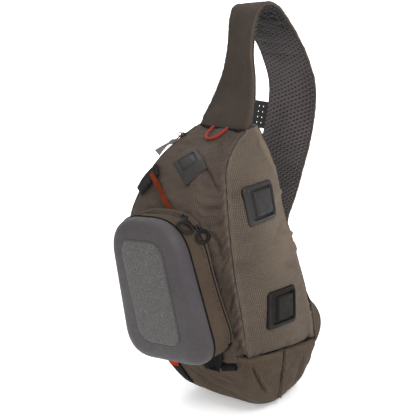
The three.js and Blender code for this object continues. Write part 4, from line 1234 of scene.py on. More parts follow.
def strapLining():
    s = strapSpec
    at = np.linspace(s["liningFrom"], s["liningTo"], 300)
    coarseAt, coarseWide = np.linspace(at[0], at[-1], 110), np.linspace(-1, 1, 19)
    f = stripFrames(strapTable, coarseAt)
    wide = coarseWide[None] * f["halfWidth"][:, None]
    face = f["centre"][:, None] + f["across"][:, None] * wide[..., None]
    sewn = np.broadcast_to(np.abs(coarseWide) > 0.85, (110, 19)).copy()
    for k in s["crossSeams"]:
        sewn[np.abs(coarseAt - k).argmin()] = True
    rise = np.sum(inflate(face[:, ::-1], sewn, s["pressure"]) * f["face"][:, None], 2)[:, ::-1]
    rise *= s["puff"] / max(np.percentile(np.abs(rise), 98), 0.5)

    def quilt(wide, angle, at):
        inner = np.sin(angle) > 0
        risen = spreadOver(rise, coarseAt, coarseWide, at[:, 0], coarseWide)
        puff = np.stack([np.interp(w, coarseWide, r) for w, r in zip(wide, risen)])
        seams = sum(np.exp(-((at - k) / s["crossSoft"]) ** 2) for k in s["crossSeams"])
        border = np.exp(-((np.abs(wide) - s["borderAt"]) / s["borderSoft"]) ** 2)
        bent = step(at, 5.4, 6.2) * (1 - step(at, 7.9, 8.8))
        squeeze = s["squeeze"] * bent * softNoise(at * 36, wide * 14, 9, 82)
        pressed = puff - s["crossDepth"] * seams - s["borderDepth"] * border
        return inner * (pressed + squeeze * (1 - border) - s["settle"])

    low = s["coverTop"] - 0.06
    rings = stripRings(strapTable, at, 56, 0.4, low, 1.0, s["liningInset"], quilt)
    # painted shade: the lining is painted darker where the strap bends over its crest
    bend = np.broadcast_to((step(at, 4.6, 5.8) * (1 - step(at, 7.2, 9.6)))[:, None], rings.shape[:2])
    made = tubePiece("strapLining", rings, "spacerMesh", "spacer_mesh", "strap_lining", wearAndPaintedLight=bend)


def strapLine(share, low, high, side, lift):
    # a sewn line on the outer (-1) or inner (1) face of the strap
    f = stripFrames(strapTable, np.linspace(low, high, 220))
    place = f["centre"] + f["across"] * (share * f["halfWidth"])[:, None]
    return place + f["face"] * (side * f["halfThick"] + lift)[:, None], side * f["face"]


def strapStitches():
    lines = [strapLine(share, 1.7, 14.6, -1, 0.55) for share in (-0.86, 0.86)]
    setAlong("strapStitches", lines, seamStitch, "strap_cloth")
    inside = [strapLine(share, 2.2, 14.4, 1, -0.55) for share in (-0.78, 0.78)]
    setAlong("liningStitches", inside, meshStitch, "spacer_mesh")
    f = stripFrames(strapTable, np.linspace(1.5, 14.4, 260))
    edges = []
    for sign in (-1, 1):
        rim = f["centre"] + sign * f["across"] * (f["halfWidth"] - 0.15)[:, None]
        edges.append((rim - f["face"] * (0.22 * f["halfThick"])[:, None], sign * f["across"]))
    setAlong("edgeStitches", edges, edgeStitch, "strap_cloth")


strapCover()
strapLining()
strapStitches()
print("strap made")

# Flat parts: an outline with holes, given thickness and rounded edges


def roundedOutline(width, height, radius, corner=8, x=0.0, y=0.0):
    points = []
    spots = ((1, -1, -90), (1, 1, 0), (-1, 1, 90), (-1, -1, 180))
    for sx, sy, start in spots:
        for k in range(corner + 1):
            angle = math.radians(start + 90 * k / corner)
            points.append((
                x + sx * (width / 2 - radius) + radius * math.cos(angle),
                y + sy * (height / 2 - radius) + radius * math.sin(angle),
            ))
    return points


def roundHole(x, y, radius, count=16):
    turns = [2 * math.pi * k / count for k in range(count)]
    return [(x + radius * math.cos(turn), y + radius * math.sin(turn)) for turn in turns]


def flatPart(name, outlines, thick, edge, matrix, finish, slot, *nodes, base=0.0):
    # local z from base to base + thick; matrix places it in millimetres
    curve = bpy.data.curves.new(name, "CURVE")
    curve.dimensions = "2D"
    curve.fill_mode = "BOTH"
    curve.extrude = (thick / 2 - edge) * mm
    curve.bevel_depth = edge * mm
    curve.bevel_resolution = 2
    curve.offset = -edge * mm
    for outline in outlines:
        line = curve.splines.new("POLY")
        line.points.add(len(outline) - 1)
        line.use_cyclic_u = True
        for point, (px, py) in zip(line.points, outline):
            point.co = (px * mm, py * mm, 0, 1)
    source = putInScene(name + "Outline", curve)
    bpy.context.view_layer.update()
    mesh = bpy.data.meshes.new_from_object(source.evaluated_get(bpy.context.evaluated_depsgraph_get()))
    bpy.data.objects.remove(source)
    lift = Matrix.Translation((0, 0, (base + thick / 2) * mm))
    place = Matrix(np.array(matrix, float).tolist())
    place.translation *= mm
    bm = bmesh.new()
    bm.from_mesh(mesh)
    bmesh.ops.remove_doubles(bm, verts=bm.verts, dist=1e-6)
    bm.transform(lift)
    layer = bm.loops.layers.uv.new("sewn")
    for face in bm.faces:
        for loop in face.loops:
            loop[layer].uv = (loop.vert.co.x / mm, loop.vert.co.y / mm)
    bm.transform(place)
    bmesh.ops.recalc_face_normals(bm, faces=bm.faces)
    if bm.calc_volume(signed=True) < 0:
        bmesh.ops.reverse_faces(bm, faces=bm.faces)
    bm.to_mesh(mesh)
    bm.free()
    mesh.name = name
    mesh.materials.clear()
    mesh.materials.append(finishes[finish])
    mesh.shade_smooth()
    mesh.set_sharp_from_angle(angle=math.radians(40))
    return dress(putInScene(name, mesh), slot, *nodes)


def frameAt(origin, right, out):
    z = unit(out)
    x = unit(np.asarray(right, float) - z * np.dot(right, z))
    matrix = np.eye(4)
    matrix[:3, 0], matrix[:3, 1], matrix[:3, 2], matrix[:3, 3] = x, np.cross(z, x), z, origin
    return matrix


def inFrame(matrix, points):
    return np.asarray(points, float) @ matrix[:3, :3].T + matrix[:3, 3]


def wireRing(name, seat, radius, wire, count, finish, slot):
    # a round ring of wire lying flat in its frame
    angle = np.arange(count) / count * 2 * np.pi
    ring = inFrame(seat, radius * np.column_stack([np.cos(angle), np.sin(angle), 0 * angle]))
    rings = loopRings(ring, wire, 8, np.tile(seat[:3, 2], (count, 1)))
    tubePiece(name, rings, finish, slot, closed=True)


def stripSeat(table, at, lift):
    # frame on the outer face of a strip
    f = {key: value[0] for key, value in stripFrames(table, np.array([at])).items()}
    return frameAt(f["centre"] - f["face"] * (f["halfThick"] + lift), f["across"], -f["face"])


# Perforated tab and webbing keeper on the outer face of the strap

tabSpec = {
    "width": 79, "height": 44, "radius": 5, "thick": 2.2, "edge": 0.4, "shift": -47.5, "at": 11.15,
    "lift": 0.35, "columns": 2, "rows": 4, "pitch": 9, "firstHole": -25, "hole": 1.25,
}
keeperSpec = {
    "width": 84, "height": 34, "radius": 3, "thick": 1.6, "edge": 0.5, "shift": -6, "at": 9.25,
    "lift": 0.6, "seam": 8,
}


def strapPlates():
    s = tabSpec
    outlines = [roundedOutline(s["width"], s["height"], s["radius"], x=s["shift"])]
    for c in range(s["columns"]):
        for r in range(s["rows"]):
            x, y = s["shift"] + s["firstHole"] + c * s["pitch"], (r - (s["rows"] - 1) / 2) * s["pitch"]
            outlines.append(roundHole(x, y, s["hole"]))
    seat = stripSeat(strapTable, s["at"], s["lift"])
    flatPart("strapTab", outlines, s["thick"], s["edge"], seat, "blackPlastic", "black_plastic", "strap_tab")
    k = keeperSpec
    outline = [roundedOutline(k["width"], k["height"], k["radius"], x=k["shift"])]
    seat = stripSeat(strapTable, k["at"], k["lift"])
    flatPart("strapKeeper", outline, k["thick"], k["edge"], seat, "greyWeb", "grey_webbing", "strap_keeper")
    matrix = stripSeat(strapTable, k["at"], k["lift"] + k["thick"])
    ring = roundedOutline(k["width"] - k["seam"], k["height"] - k["seam"], 2, x=k["shift"])
    ring = evenPath(ring, 120, closed=True)
    ring = np.concatenate([ring, ring[:1]])
    path = inFrame(matrix, np.column_stack([ring, np.zeros(len(ring))]))
    setAlong("keeperStitches", [(path, np.tile(matrix[:3, 2], (len(path), 1)))], meshStitch, "grey_webbing")


strapPlates()

# Lower strap end: wing, webbing and ladder lock

webbingRows = np.array([
    [109, 88.5, 112, 11.5, 0.8, 0.36, -0.3, 0.88], [86, 91.5, 136, 12.5, 0.8, 0.62, -0.15, 0.77],
    [64, 98, 176, 12.5, 0.8, 0.76, 0, 0.66], [40, 108, 203, 12.5, 0.8, 0.8, 0, 0.6],
    [18, 124, 227, 12.5, 0.8, 0.82, 0, 0.58],
], float)
wingSpec = {
    "height": 74, "proud": 13, "sunk": 3, "thick": 3.0, "edge": 1.1, "droop": 4, "outX": 0.35, "at": 2.42,
}
lockSpec = {
    "width": 34, "length": 28, "thick": 4, "edge": 0.8, "slotWidth": 26, "slot": 3.8, "slotAt": 6,
    "slotRadius": 1.2, "radius": 3, "at": 3.35, "lift": 0.3,
}


def lowerStrap():
    w = wingSpec
    half = w["height"] / 2
    low, middle, high = np.array([(-w["sunk"], -half), (2 * w["proud"], -w["droop"]), (-w["sunk"], half)])
    lobe = softCorner(low, middle, high, 40)
    matrix = frameAt(bagPoint(2 - 1e-6, w["at"]), (w["outX"], 1, 0), (1, -w["outX"], 0))
    shape = ([lobe.tolist()], w["thick"], w["edge"], matrix)
    flatPart("strapWing", *shape, "sideCloth", "strap_cloth", "strap_wing", base=-w["thick"] / 2)
    rim = lobe[4:-4] * np.array([[0.72, 0.9]])
    face = np.full(len(rim), w["thick"] / 2)
    outs = np.tile(matrix[:3, 2], (len(rim), 1))
    path = inFrame(matrix, np.column_stack([rim, face]))
    setAlong("wingStitches", [(path, outs)], seamStitch, "strap_cloth")
    web = ("blackWeb", "black_webbing", "strap_webbing")
    stripPiece("strapWebbing", webbingRows, (0.12, 3.9), 90, 20, 0.3, *web)
    k = lockSpec
    outlines = [roundedOutline(k["width"], k["length"], k["radius"])]
    for y in (k["slotAt"], -k["slotAt"]):
        outlines.append(roundedOutline(k["slotWidth"], k["slot"], k["slotRadius"], y=y))
    seat = stripSeat(webbingRows, k["at"], k["lift"])
    shape = (outlines, k["thick"], k["edge"], seat)
    flatPart("ladderLock", *shape, "blackPlastic", "black_plastic", "ladder_lock")


lowerStrap()
print("strap hardware made")

# Drop-front pocket. Local x right, y up, z out of the front

pocketSpec = {
    "centre": (4, -122, 245), "roll": 4, "yaw": 2, "pitch": 2.5, "height": 222, "topHalf": 64,
    "bottomHalf": 82, "topRadius": 52, "bottomRadius": 46, "rearFlare": 3, "rearDrop": 12, "reach": 70,
    "zipWidth": 8, "hingeLine": -92,
}
domeRows = np.array([
    [1, 0.35], [1, 7], [0.98, 14], [0.93, 19.5], [0.83, 23], [0.62, 24.9], [0.45, 25.4], [0.2, 25.7],
    [0.01, 25.8],
], float)


def pocketFrame():
    yaw, roll, pitch = (math.radians(pocketSpec[k]) for k in ("yaw", "roll", "pitch"))
    out = unit([math.sin(yaw), -math.cos(yaw), math.sin(pitch)])
    level = np.array([math.cos(yaw), math.sin(yaw), 0])
    turned = Matrix.Rotation(roll, 3, Vector(out)) @ Vector(level)
    return frameAt(pocketSpec["centre"], np.array(turned), out)


pocketTurn = pocketFrame()
outlineCount = 240


def pocketOutline():
    p = pocketSpec
    half = p["height"] / 2
    corners = [
        (p["bottomHalf"], -half, p["bottomRadius"]), (p["topHalf"], half, p["topRadius"]),
        (-p["topHalf"], half, p["topRadius"]), (-p["bottomHalf"], -half, p["bottomRadius"]),
    ]
    start = np.array([0.0, -half])
    points = [start]
    for i, (x, y, radius) in enumerate(corners):
        here = np.array([x, y], float)
        before = np.array(corners[i - 1][:2], float) if i else start
        after = np.array(corners[i + 1][:2], float) if i < 3 else start
        into, onward = here + unit(before - here) * radius, here + unit(after - here) * radius
        points += list(softCorner(into, here, onward, 24))
    return evenPath(np.array(points), outlineCount, closed=True)


outline2d = pocketOutline()
alongOutline = np.roll(outline2d, -1, 0) - np.roll(outline2d, 1, 0)
outlineOut = unit(np.stack([alongOutline[:, 1], -alongOutline[:, 0]], -1))


def pocketRing(depth, grow=0.0, share=1.0):
    # depth and grow may differ round the outline
    depth = np.broadcast_to(np.asarray(depth, float), (outlineCount,))
    back = np.maximum(-depth, 0) / pocketSpec["reach"]
    moved = outline2d + outlineOut * (grow + pocketSpec["rearFlare"] * back)[:, None]
    drop = pocketSpec["rearDrop"] * back * np.maximum(outline2d[:, 1] / (pocketSpec["height"] / 2), 0)
    moved = (moved - np.stack([np.zeros(outlineCount), drop], -1)) * share
    return np.column_stack([moved, depth])


def depthOnBag(lift):
    # depth at which the pocket wall stands at this distance in front of the bag
    low, high = np.full(outlineCount, -pocketSpec["reach"]), np.zeros(outlineCount)
    for _ in range(30):
        mid = (low + high) / 2
        p = inFrame(pocketTurn, pocketRing(mid))
        u, v = frontPlace(p[:, 0], p[:, 2])
        ahead = bagPoint(np.clip(u, 0, 0.9999), v)[:, 1] - p[:, 1]
        low, high = np.where(ahead > lift, low, mid), np.where(ahead > lift, mid, high)
    return (low + high) / 2


bagDepth = depthOnBag(0.35)
highUp = np.clip(outline2d[:, 1] / 90, 0, 1)
onHinge = outline2d[:, 1] < pocketSpec["hingeLine"]


def pocketShell():
    at = np.concatenate([[0], np.linspace(0, len(domeRows) - 1, 64)])
    rows = smoothRows(domeRows, at)
    rows[0] = (0.955, 0.35)
    rings = np.array([inFrame(pocketTurn, pocketRing(height, 0, share)) for share, height in rows])
    tubePiece("pocketShell", rings, "shellFoam", "pocket_shell", "pocket_shell")
    # dark piping round the shell's rim, partly painted shadow where the shell meets the gusset
    lip = inFrame(pocketTurn, pocketRing(-0.4, 0.4))
    out = inFrame(pocketTurn, pocketRing(-0.4, 1.4)) - lip
    tubePiece("shellPipingAndShadow", loopRings(lip, 1.3, 10, out), "zipTape", "pocket_shell", closed=True)


domeFine = smoothRows(domeRows, np.linspace(1.2, len(domeRows) - 1, 300))
outlineTurn = np.arctan2(outline2d[:, 1], outline2d[:, 0])
outlineReach = np.hypot(outline2d[:, 0], outline2d[:, 1])
turnOrder = np.argsort(outlineTurn)


def domeHeight(x, y):
    reach = np.interp(np.arctan2(y, x), outlineTurn[turnOrder], outlineReach[turnOrder], period=2 * np.pi)
    share = np.hypot(x, y) / reach
    return np.interp(share, domeFine[::-1, 0], domeFine[::-1, 1])


feltSpec = {
    "halfWidth": 40, "halfHeight": 80, "radius": 21, "x": -1.5, "y": 3, "thick": 1.2, "lift": 0.35,
    "puff": 0.6, "lip": 1.0, "lipOut": 1.1,
}


def feltPanel():
    s = feltSpec
    a, b = np.meshgrid(np.linspace(-1, 1, 61), np.linspace(-1, 1, 121))
    y = b * s["halfHeight"]
    into = np.maximum(np.abs(y) - (s["halfHeight"] - s["radius"]), 0)
    reach = s["halfWidth"] - s["radius"] + np.sqrt(np.maximum(s["radius"] ** 2 - into**2, 0.01))
    x = a * reach
    edge = np.minimum((1 - np.abs(a)) * reach, s["halfHeight"] - np.abs(y))
    px, py = x + s["x"], y + s["y"]
    z = domeHeight(px, py) + s["lift"] + s["puff"] * (1 - np.exp(-edge / 2.5))
    z += 0.12 * softNoise(x, y, 22, 90)
    points = inFrame(pocketTurn, np.stack([px, py, z], -1))
    sheetPiece("feltPanel", points, s["thick"], "felt", np.stack([x, y], -1), "felt", "felt_panel")
    wide, tall = (2 * s[half] + 2 * s["lipOut"] for half in ("halfWidth", "halfHeight"))
    ring = roundedOutline(wide, tall, s["radius"] + s["lipOut"], 12, s["x"], s["y"])
    ring = evenPath(ring, 260, closed=True)
    path = inFrame(pocketTurn, np.column_stack([ring, domeHeight(ring[:, 0], ring[:, 1]) + 0.1]))
    out = np.tile(pocketTurn[:3, 2], (len(path), 1))
    tubePiece("feltLip", loopRings(path, s["lip"], 10, out, 0.8), "shellFoam", "pocket_shell", closed=True)


gussetSpec = {"rows": 34, "thick": 2.0, "dent": 1.6, "run": 680}


def pocketGusset():
    rear = bagDepth + pocketSpec["zipWidth"]
    run = np.arange(outlineCount) / outlineCount * gussetSpec["run"]
    outside, inside = [], []
    for share in np.linspace(0, 1, gussetSpec["rows"]):
        hollow = math.sin(math.pi * share)
        dent = -gussetSpec["dent"] * hollow * (0.6 + 0.4 * softNoise(run, share * 30, 60, 91))
        gather = 0.5 * share * softNoise(run, share * 8, 11, 92)
        outside.append(inFrame(pocketTurn, pocketRing(share * rear, dent + gather)))
        sunk = -gussetSpec["thick"] - gussetSpec["dent"] * hollow
        inside.append(inFrame(pocketTurn, pocketRing(share * rear, sunk)))
    rings = np.array(inside + outside[::-1])
    wearAndPaintedLight = np.zeros(rings[..., 0].size)
    tubePiece("pocketGusset", rings, "gussetCloth", "side_cloth", "pocket_gusset", closed=True, wearAndPaintedLight=wearAndPaintedLight)


def outlineRun(keep):
    # kept places of the outline in one unbroken run
    index = np.flatnonzero(keep)
    breaks = np.flatnonzero(np.diff(index) > 1)
    return np.concatenate([index[breaks[0] + 1:], index[:breaks[0] + 1]]) if len(breaks) else index


def outlineStrip(name, section, keep, finish, slot, *nodes, swell=1.0):
    # a strip along part of the outline; section gives (forward, outward) pairs round a closed loop
    rings = [
        inFrame(pocketTurn, pocketRing(bagDepth + forward, outward * swell)) for forward, outward in section
    ]
    rings = np.array(rings)[::-1].transpose(1, 0, 2)[outlineRun(keep)]
    tubePiece(name, rings, finish, slot, *nodes)


zipSpec = {"coilAt": 4.4, "coilOut": 0.5, "flap": 1.6, "ahead": 9.0}
# the zip lies further forward at the top
zipAhead = zipSpec["ahead"] * np.clip((outline2d[:, 1] - 45) / 50, 0, 1) ** 1.5


def pocketZip():
    zipped = ~onHinge
    a = zipAhead
    tape = [(2.2 + a, 0.1), (6.6 + a, 0.1), (6.6 + a, -1.6), (2.2 + a, -1.6)]
    outlineStrip("pocketZipTape", tape, zipped, "zipTape", "zip_tape", "pocket_zip")
    flap = 1 + zipSpec["flap"] * highUp
    rear = [(0.4, -1.4), (0.4, 0.9), (1.2, 1.5)]
    rear += [(1.6 + a, 1.5), (2.6 + a, 1.1), (3.1 + a, 0.4), (2.4 + a, -1.4)]
    outlineStrip("zipWeltRear", rear, zipped, "frontCloth", "front_cloth", swell=flap**0.5)
    fore = [(5.7 + a, 0.3), (6.3 + a, 1.1), (7.6 + a, 1.2), (9.0 + a, 0.3), (9.0 + a, -1.6), (6.0 + a, -1.6)]
    outlineStrip("zipWeltFore", fore, zipped, "gussetCloth", "side_cloth")
    black = [(0.4, -1.6), (0.4, 0.7), (2.0, 1.0), (7.0, 0.8), (8.0, 0.2), (8.0, -1.6)]
    outlineStrip("pocketHinge", black, onHinge, "blackWeb", "black_webbing", "pocket_hinge")
    index = outlineRun(zipped)
    coil = bagDepth + zipSpec["coilAt"] + a
    path = inFrame(pocketTurn, pocketRing(coil, zipSpec["coilOut"]))[index]
    out = inFrame(pocketTurn, pocketRing(coil, 1.5 + zipSpec["coilOut"]))[index] - path
    setAlong("pocketZipCoil", [(path, out)], {**coilTooth, "across": 3.2}, "zip_tape")
    sewn = inFrame(pocketTurn, pocketRing(bagDepth + a + pocketSpec["zipWidth"] + 3.0, -0.25))[index]
    setAlong("gussetStitches", [(sewn, out)], seamStitch, "side_cloth")


pocketShell()
feltPanel()
pocketGusset()
pocketZip()
print("pocket made")

# Pocket zip sliders and oval pulls

sliderSpec = {
    "length": 11, "width": 8, "base": 2.4, "radius": 2, "edge": 0.6, "bridge": 1.0, "bridgeFlat": 1.5,
}
sliderArch = [(-3.5, 0.2), (-3.2, 2.4), (-2, 3.8), (0, 4.5), (2, 3.8), (3.2, 2.4), (3.5, 0.2)]
pullSpec = {"long": 14.0, "short": 10.5, "band": 5.0, "thick": 3.4, "tongue": 2.6, "reach": 13}
# share of the outline and distance forward, of the slider and of its pull
pocketSliders = {"left": (0.437, 16, 0.409, 32), "right": (0.3985, 10, 0.379, 9)}


def zipSeat(share, forward):
    k = share * outlineCount
    i = int(k)
    blend = k - i
    point = outline2d[i] * (1 - blend) + outline2d[i + 1] * blend
    out = unit(outlineOut[i] * (1 - blend) + outlineOut[i + 1] * blend)
    rim = inFrame(pocketTurn, [point[0], point[1], 0])
    u, v = frontPlace(rim[0], rim[2])
    depth = rim[1] - bagPoint(u, v)[1] + forward
    back = -depth / pocketSpec["reach"]
    drop = pocketSpec["rearDrop"] * back * max(point[1] / (pocketSpec["height"] / 2), 0)
    lift = pocketSpec["rearFlare"] * back + 0.7 + 0.35
    seat = inFrame(pocketTurn, [point[0] + out[0] * lift, point[1] + out[1] * lift - drop, depth])
    outward = pocketTurn[:3, :3] @ np.array([out[0], out[1], 0])
    return seat, outward, pocketTurn[:3, :3] @ np.array([-out[1], out[0], 0])


def sliderPart(name, matrix, node):
    s = sliderSpec
    outline = roundedOutline(s["length"], s["width"], s["radius"])
    flatPart(name, [outline], s["base"], s["edge"], matrix, "sliderMetal", "slider_metal", node)
    path = inFrame(matrix, curvedPath([(x, 0, z) for x, z in sliderArch], 24))
    rings = roundRings(path, s["bridge"], 10, np.tile(matrix[:3, 1], (len(path), 1)), s["bridgeFlat"])
    tubePiece(name + "Bridge", rings, "sliderMetal", "slider_metal")


def ovalPull(name, seat, towards, out, node):
    p = pullSpec
    matrix = frameAt(seat, towards, out)
    angle = np.linspace(0, 2 * np.pi, 73)[:-1]
    wide, tall, half = p["short"] - p["band"] / 2, p["long"] - p["band"] / 2, p["thick"] / 2
    middle = np.column_stack([wide * np.cos(angle), tall * np.sin(angle), np.full(72, half)])
    outward = unit(np.column_stack([np.cos(angle) / p["short"], np.sin(angle) / p["long"], np.zeros(72)]))
    turn = -(np.arange(14) + 0.5) / 14 * 2 * np.pi
    ring = power(np.cos(turn), 0.7)[None, :, None] * outward[:, None] * p["band"] / 2
    ring = ring + power(np.sin(turn), 0.7)[None, :, None] * np.array([0, 0, 1.0]) * p["thick"] / 2
    tubePiece(name, inFrame(matrix, middle[:, None] + ring), "pullRubber", "pull_rubber", node, closed=True)
    start = p["short"] - p["band"]
    run = np.linspace(start, start + p["reach"] / 2 + 2, 20)
    path = np.column_stack([run, np.zeros(20), np.full(20, half)])
    radius = p["tongue"] * (0.85 + 0.15 * np.cos(np.linspace(0, 2 * np.pi, 20)))
    rings = roundRings(inFrame(matrix, path), radius, 14, np.tile(matrix[:3, 2], (20, 1)), 0.6)
    tubePiece(name + "Tongue", rings, "pullRubber", "pull_rubber")


for label, (share, forward, pullShare, pullForward) in pocketSliders.items():
    seat, out, along = zipSeat(share, forward)
    sliderPart("pocketSlider" + label.title(), frameAt(seat, along, out), "pocket_slider_" + label)
    hung, pullOut, _ = zipSeat(pullShare, pullForward)
    ovalPull("pocketPull" + label.title(), hung + pullOut * 1.2, seat - hung, pullOut, "pocket_pull_" + label)
print("pocket pulls made")

# Moulded lash plates

lashSpec = {
    "width": 65, "height": 57, "radius": 7, "proud": 3.7, "panel": (17.4, 17.9), "shift": (6.4, 0.3),
    "left": 11.4, "edge": 4.0, "right": 4.2, "depth": 2.5, "line": 1.7, "bend": 0.5, "rub": 0.4,
}
frontPlateSpec = {
    "width": 40, "height": 53, "radius": 3, "proud": 1.9, "panel": (9.5, 9.5), "shift": (-0.5, 8.0),
    "left": 5.0, "edge": 3.8, "right": 4.4, "depth": 0.9, "line": 1.4, "bend": 0.85, "rub": 0.4,
}


def boxAway(x, y, halfX, halfY, radius):
    # distance outside a rounded box, negative inside
    qx, qy = np.abs(x) - halfX + radius, np.abs(y) - halfY + radius
    return np.hypot(np.maximum(qx, 0), np.maximum(qy, 0)) + np.minimum(np.maximum(qx, qy), 0) - radius


def clothUnder(matrix, u, v, x, y):
    # height of the bag's surface under each place of a plate
    du, dv = np.zeros(x.shape), np.zeros(x.shape)

    def local(du, dv):
        return (bagPoint(u + du, v + dv) - matrix[:3, 3]) @ matrix[:3, :3]

    for _ in range(6):
        here = local(du, dv)
        alongU, alongV = (local(du + 0.01, dv) - here) * 100, (local(du, dv + 0.01) - here) * 100
        gapX, gapY = x - here[..., 0], y - here[..., 1]
        area = alongU[..., 0] * alongV[..., 1] - alongU[..., 1] * alongV[..., 0]
        du = du + (gapX * alongV[..., 1] - gapY * alongV[..., 0]) / area
        dv = dv + (gapY * alongU[..., 0] - gapX * alongU[..., 1]) / area
    return local(du, dv)[..., 2]


plateForm = {
    "cells": 96, "rim": 0.74, "rimReach": 2.2, "lip": 0.26, "lipAt": 1.3, "bridge": 0.2, "slotDepth": 0.8,
    "slotHalf": 3.6, "least": 0.7, "sink": 0.3, "lineShade": 0.95, "grooveShade": 0.55, "bridgeShade": 0.38,
    "rimShade": 0.4,
}


def lashPlate(name, spec, u, v, turn, node, finish="platePlastic"):
    out = bagFacing(u, v)
    right = unit(bagPoint(u + 0.01, v) - bagPoint(u - 0.01, v))
    right = np.array(Matrix.Rotation(math.radians(turn), 3, Vector(out)) @ Vector(right))
    matrix = frameAt(bagPoint(u, v), right, out)
    form = plateForm
    share = np.linspace(-1, 1, form["cells"] + 1)
    a, b = np.meshgrid(share, share)
    halfX, halfY, radius = spec["width"] / 2, spec["height"] / 2, spec["radius"]
    y = b * halfY
    into = np.maximum(np.abs(y) - (halfY - radius), 0)
    x = a * (halfX - radius + np.sqrt(np.maximum(radius**2 - into**2, 0.02)))
    edge = -boxAway(x, y, halfX, halfY, radius)
    panelX, panelY = spec["panel"]
    px, py = x - spec["shift"][0], y - spec["shift"][1]
    panel = boxAway(px, py, panelX, panelY, 2)  # negative on the bridge
    rx = px + (spec["left"] - spec["right"]) / 2
    well = boxAway(rx, py, panelX + (spec["left"] + spec["right"]) / 2, panelY + spec["edge"], 3)
    groove = (1 - step(well, -0.7, 0.1)) * step(panel, 0.0, 0.8)
    proud = spec["proud"]
    height = form["rim"] * proud * (1 - (1 - np.clip(edge / form["rimReach"], 0, 1)) ** 2) ** 0.5
    lip = np.exp(-((well - form["lipAt"]) / 1.0) ** 4) * step(edge, 0.5, 2.0)  # round the well
    height = height + form["lip"] * proud * lip
    height = height + form["bridge"] * proud * (1 - step(panel, -2.5, 0.2))
    height = height - spec["depth"] * groove
    line = spec["line"]
    dark = form["lineShade"]
    # painted shade in the grooves, round the well, in the slots and on the outer rim; the bridge panel is
    # darker
    shade = form["grooveShade"] * groove + form["bridgeShade"] * (1 - step(panel, -1.0, 0.2))
    shade = np.maximum(shade, dark * np.exp(-((well + 0.5 * line) / line) ** 2))  # painted shade: dark line round the well
    beside = np.where(px < -panelX, 1.7 * line, line)
    shade = np.maximum(shade, dark * groove * np.exp(-((panel - 0.6 * line) / beside) ** 2))
    shade = np.maximum(shade, form["rimShade"] * (1 - step(edge, 0.8, 2.2)))
    for sign in (-1, 1):  # painted shade: dark slots at the groove ends
        slotY = sign * (panelY + spec["edge"] / 2 - 0.4)
        slotAway = boxAway(px - panelX + 2.0, py - slotY, form["slotHalf"], 0.44 * spec["edge"], 1.0)
        slot = 1 - step(slotAway, -0.3, 0.9)
        shade = np.maximum(shade, slot)
        height = height - form["slotDepth"] * slot
    for low, away in ((0.0, well), (-1.3, panel)):  # painted highlight on the lips round the well and the bridge panel
        shade = shade - spec["rub"] * np.exp(-((away - low - 0.5) / 0.55) ** 2)
    seat = clothUnder(matrix, u, v, x, y)
    top = np.maximum(height + spec["bend"] * seat, seat + form["least"])
    topSide, lowSide = (inFrame(matrix, np.stack([x, y, z], -1)) for z in (top, seat - form["sink"]))
    shades = np.concatenate([shade.ravel(), np.zeros(shade.size)])
    made = twoFaced(name, topSide, lowSide, finish, wearAndPaintedLight=shades, mark="recess")
    dress(made, "moulded_plate", node)


lashPlate("lashPlateUpper", lashSpec, 1.5, 5.58, -5.5, "lash_plate_upper")
lashPlate("lashPlateLower", lashSpec, 1.51, 3.02, -4, "lash_plate_lower", "lowerPlatePlastic")
lashPlate("lashPlateFront", frontPlateSpec, *frontPlateAt, 52, "lash_plate_front")
print("lash plates made")

# Strips on the front: x, z, half width, half thickness, lift

gearRows = [
    (-36.5, 398, 9.5, 1.6, 2.0), (-50, 387.5, 10.5, 1.8, 2.4), (-62.5, 374.5, 10.5, 1.8, 2.9),
    (-72, 359.5, 10, 1.6, 3.4),
]
tetherRows = [
    (-48.5, 386.5, 3.4, 0.7, 8.0), (-40.5, 381.5, 4.0, 0.7, 5.6), (-28, 372, 4.5, 0.7, 1.7),
    (-15, 361.5, 4.5, 0.7, 1.5), (-3, 351.5, 4.5, 0.7, 1.7), (3, 346, 4.5, 0.7, 1.8),
]


def frontTable(rows):
    rows = np.array(rows, float)
    u, v = frontPlace(rows[:, 0], rows[:, 1])
    facing = bagFacing(u, v)
    travel = unit(np.gradient(bagPoint(u, v), axis=0))
    across = np.cross(facing, travel)
    centre = bagPoint(u, v) + facing * rows[:, 4:5]
    return np.column_stack([centre, rows[:, 2:4], across])


def frontStrips():
    gear = frontTable(gearRows)
    stripPiece("gearTab", gear, (0.5, 3), 50, 28, 0.35, "greyWeb", "grey_webbing", "gear_tab")
    fold = gear.copy()
    fold[:, :3] += np.cross(unit(np.gradient(gear[:, :3], axis=0)), gear[:, 5:8]) * 2.2
    fold[:, 3] *= 0.82
    fold[:, 4] = 0.8
    stripPiece("gearTabFold", fold, (0.8, 2.9), 40, 24, 0.35, "greyWeb", "grey_webbing")
    web = ("orangeWeb", "orange_webbing", "tether_webbing")
    stripPiece("tetherWebbing", frontTable(tetherRows), (0, 5), 70, 20, 0.3, *web)


frontStrips()

# Cord loop at the strap root: x and z on the front

cordSpec = {"radius": 2.2, "lift": 2.85}
cordRoute = [
    (-8, 427.2), (-6, 425.7), (-3, 424.4), (0.2, 423.4), (4.5, 422.7), (9.5, 422.4),
    (15, 422.7), (19.2, 423.4), (20.2, 424.4), (19.6, 425.8), (18.5, 427.2),
]


def cordLoop():
    spots = np.array(cordRoute, float)
    route, _ = bagLine(*frontPlace(spots[:, 0], spots[:, 1]), cordSpec["lift"])
    path = curvedPath(route, 36)
    made = tubePiece("cordLoop", roundRings(path, cordSpec["radius"], 16), "redCord", "red_cord", "cord_loop")


cordLoop()

# Main zip on the left front seam, slider and corded paddle pull

mainZipSpec = {"from": 3.1, "to": 8.7, "coil": 8.0, "lift": 0.5, "sliderAt": 8.26, "ring": 3.6, "wire": 0.75}
ridgeSection = [(15, -1.0), (15, 0.3), (11, 0.7), (6, 0.8), (3.5, 0.4), (3.5, -1.0)]


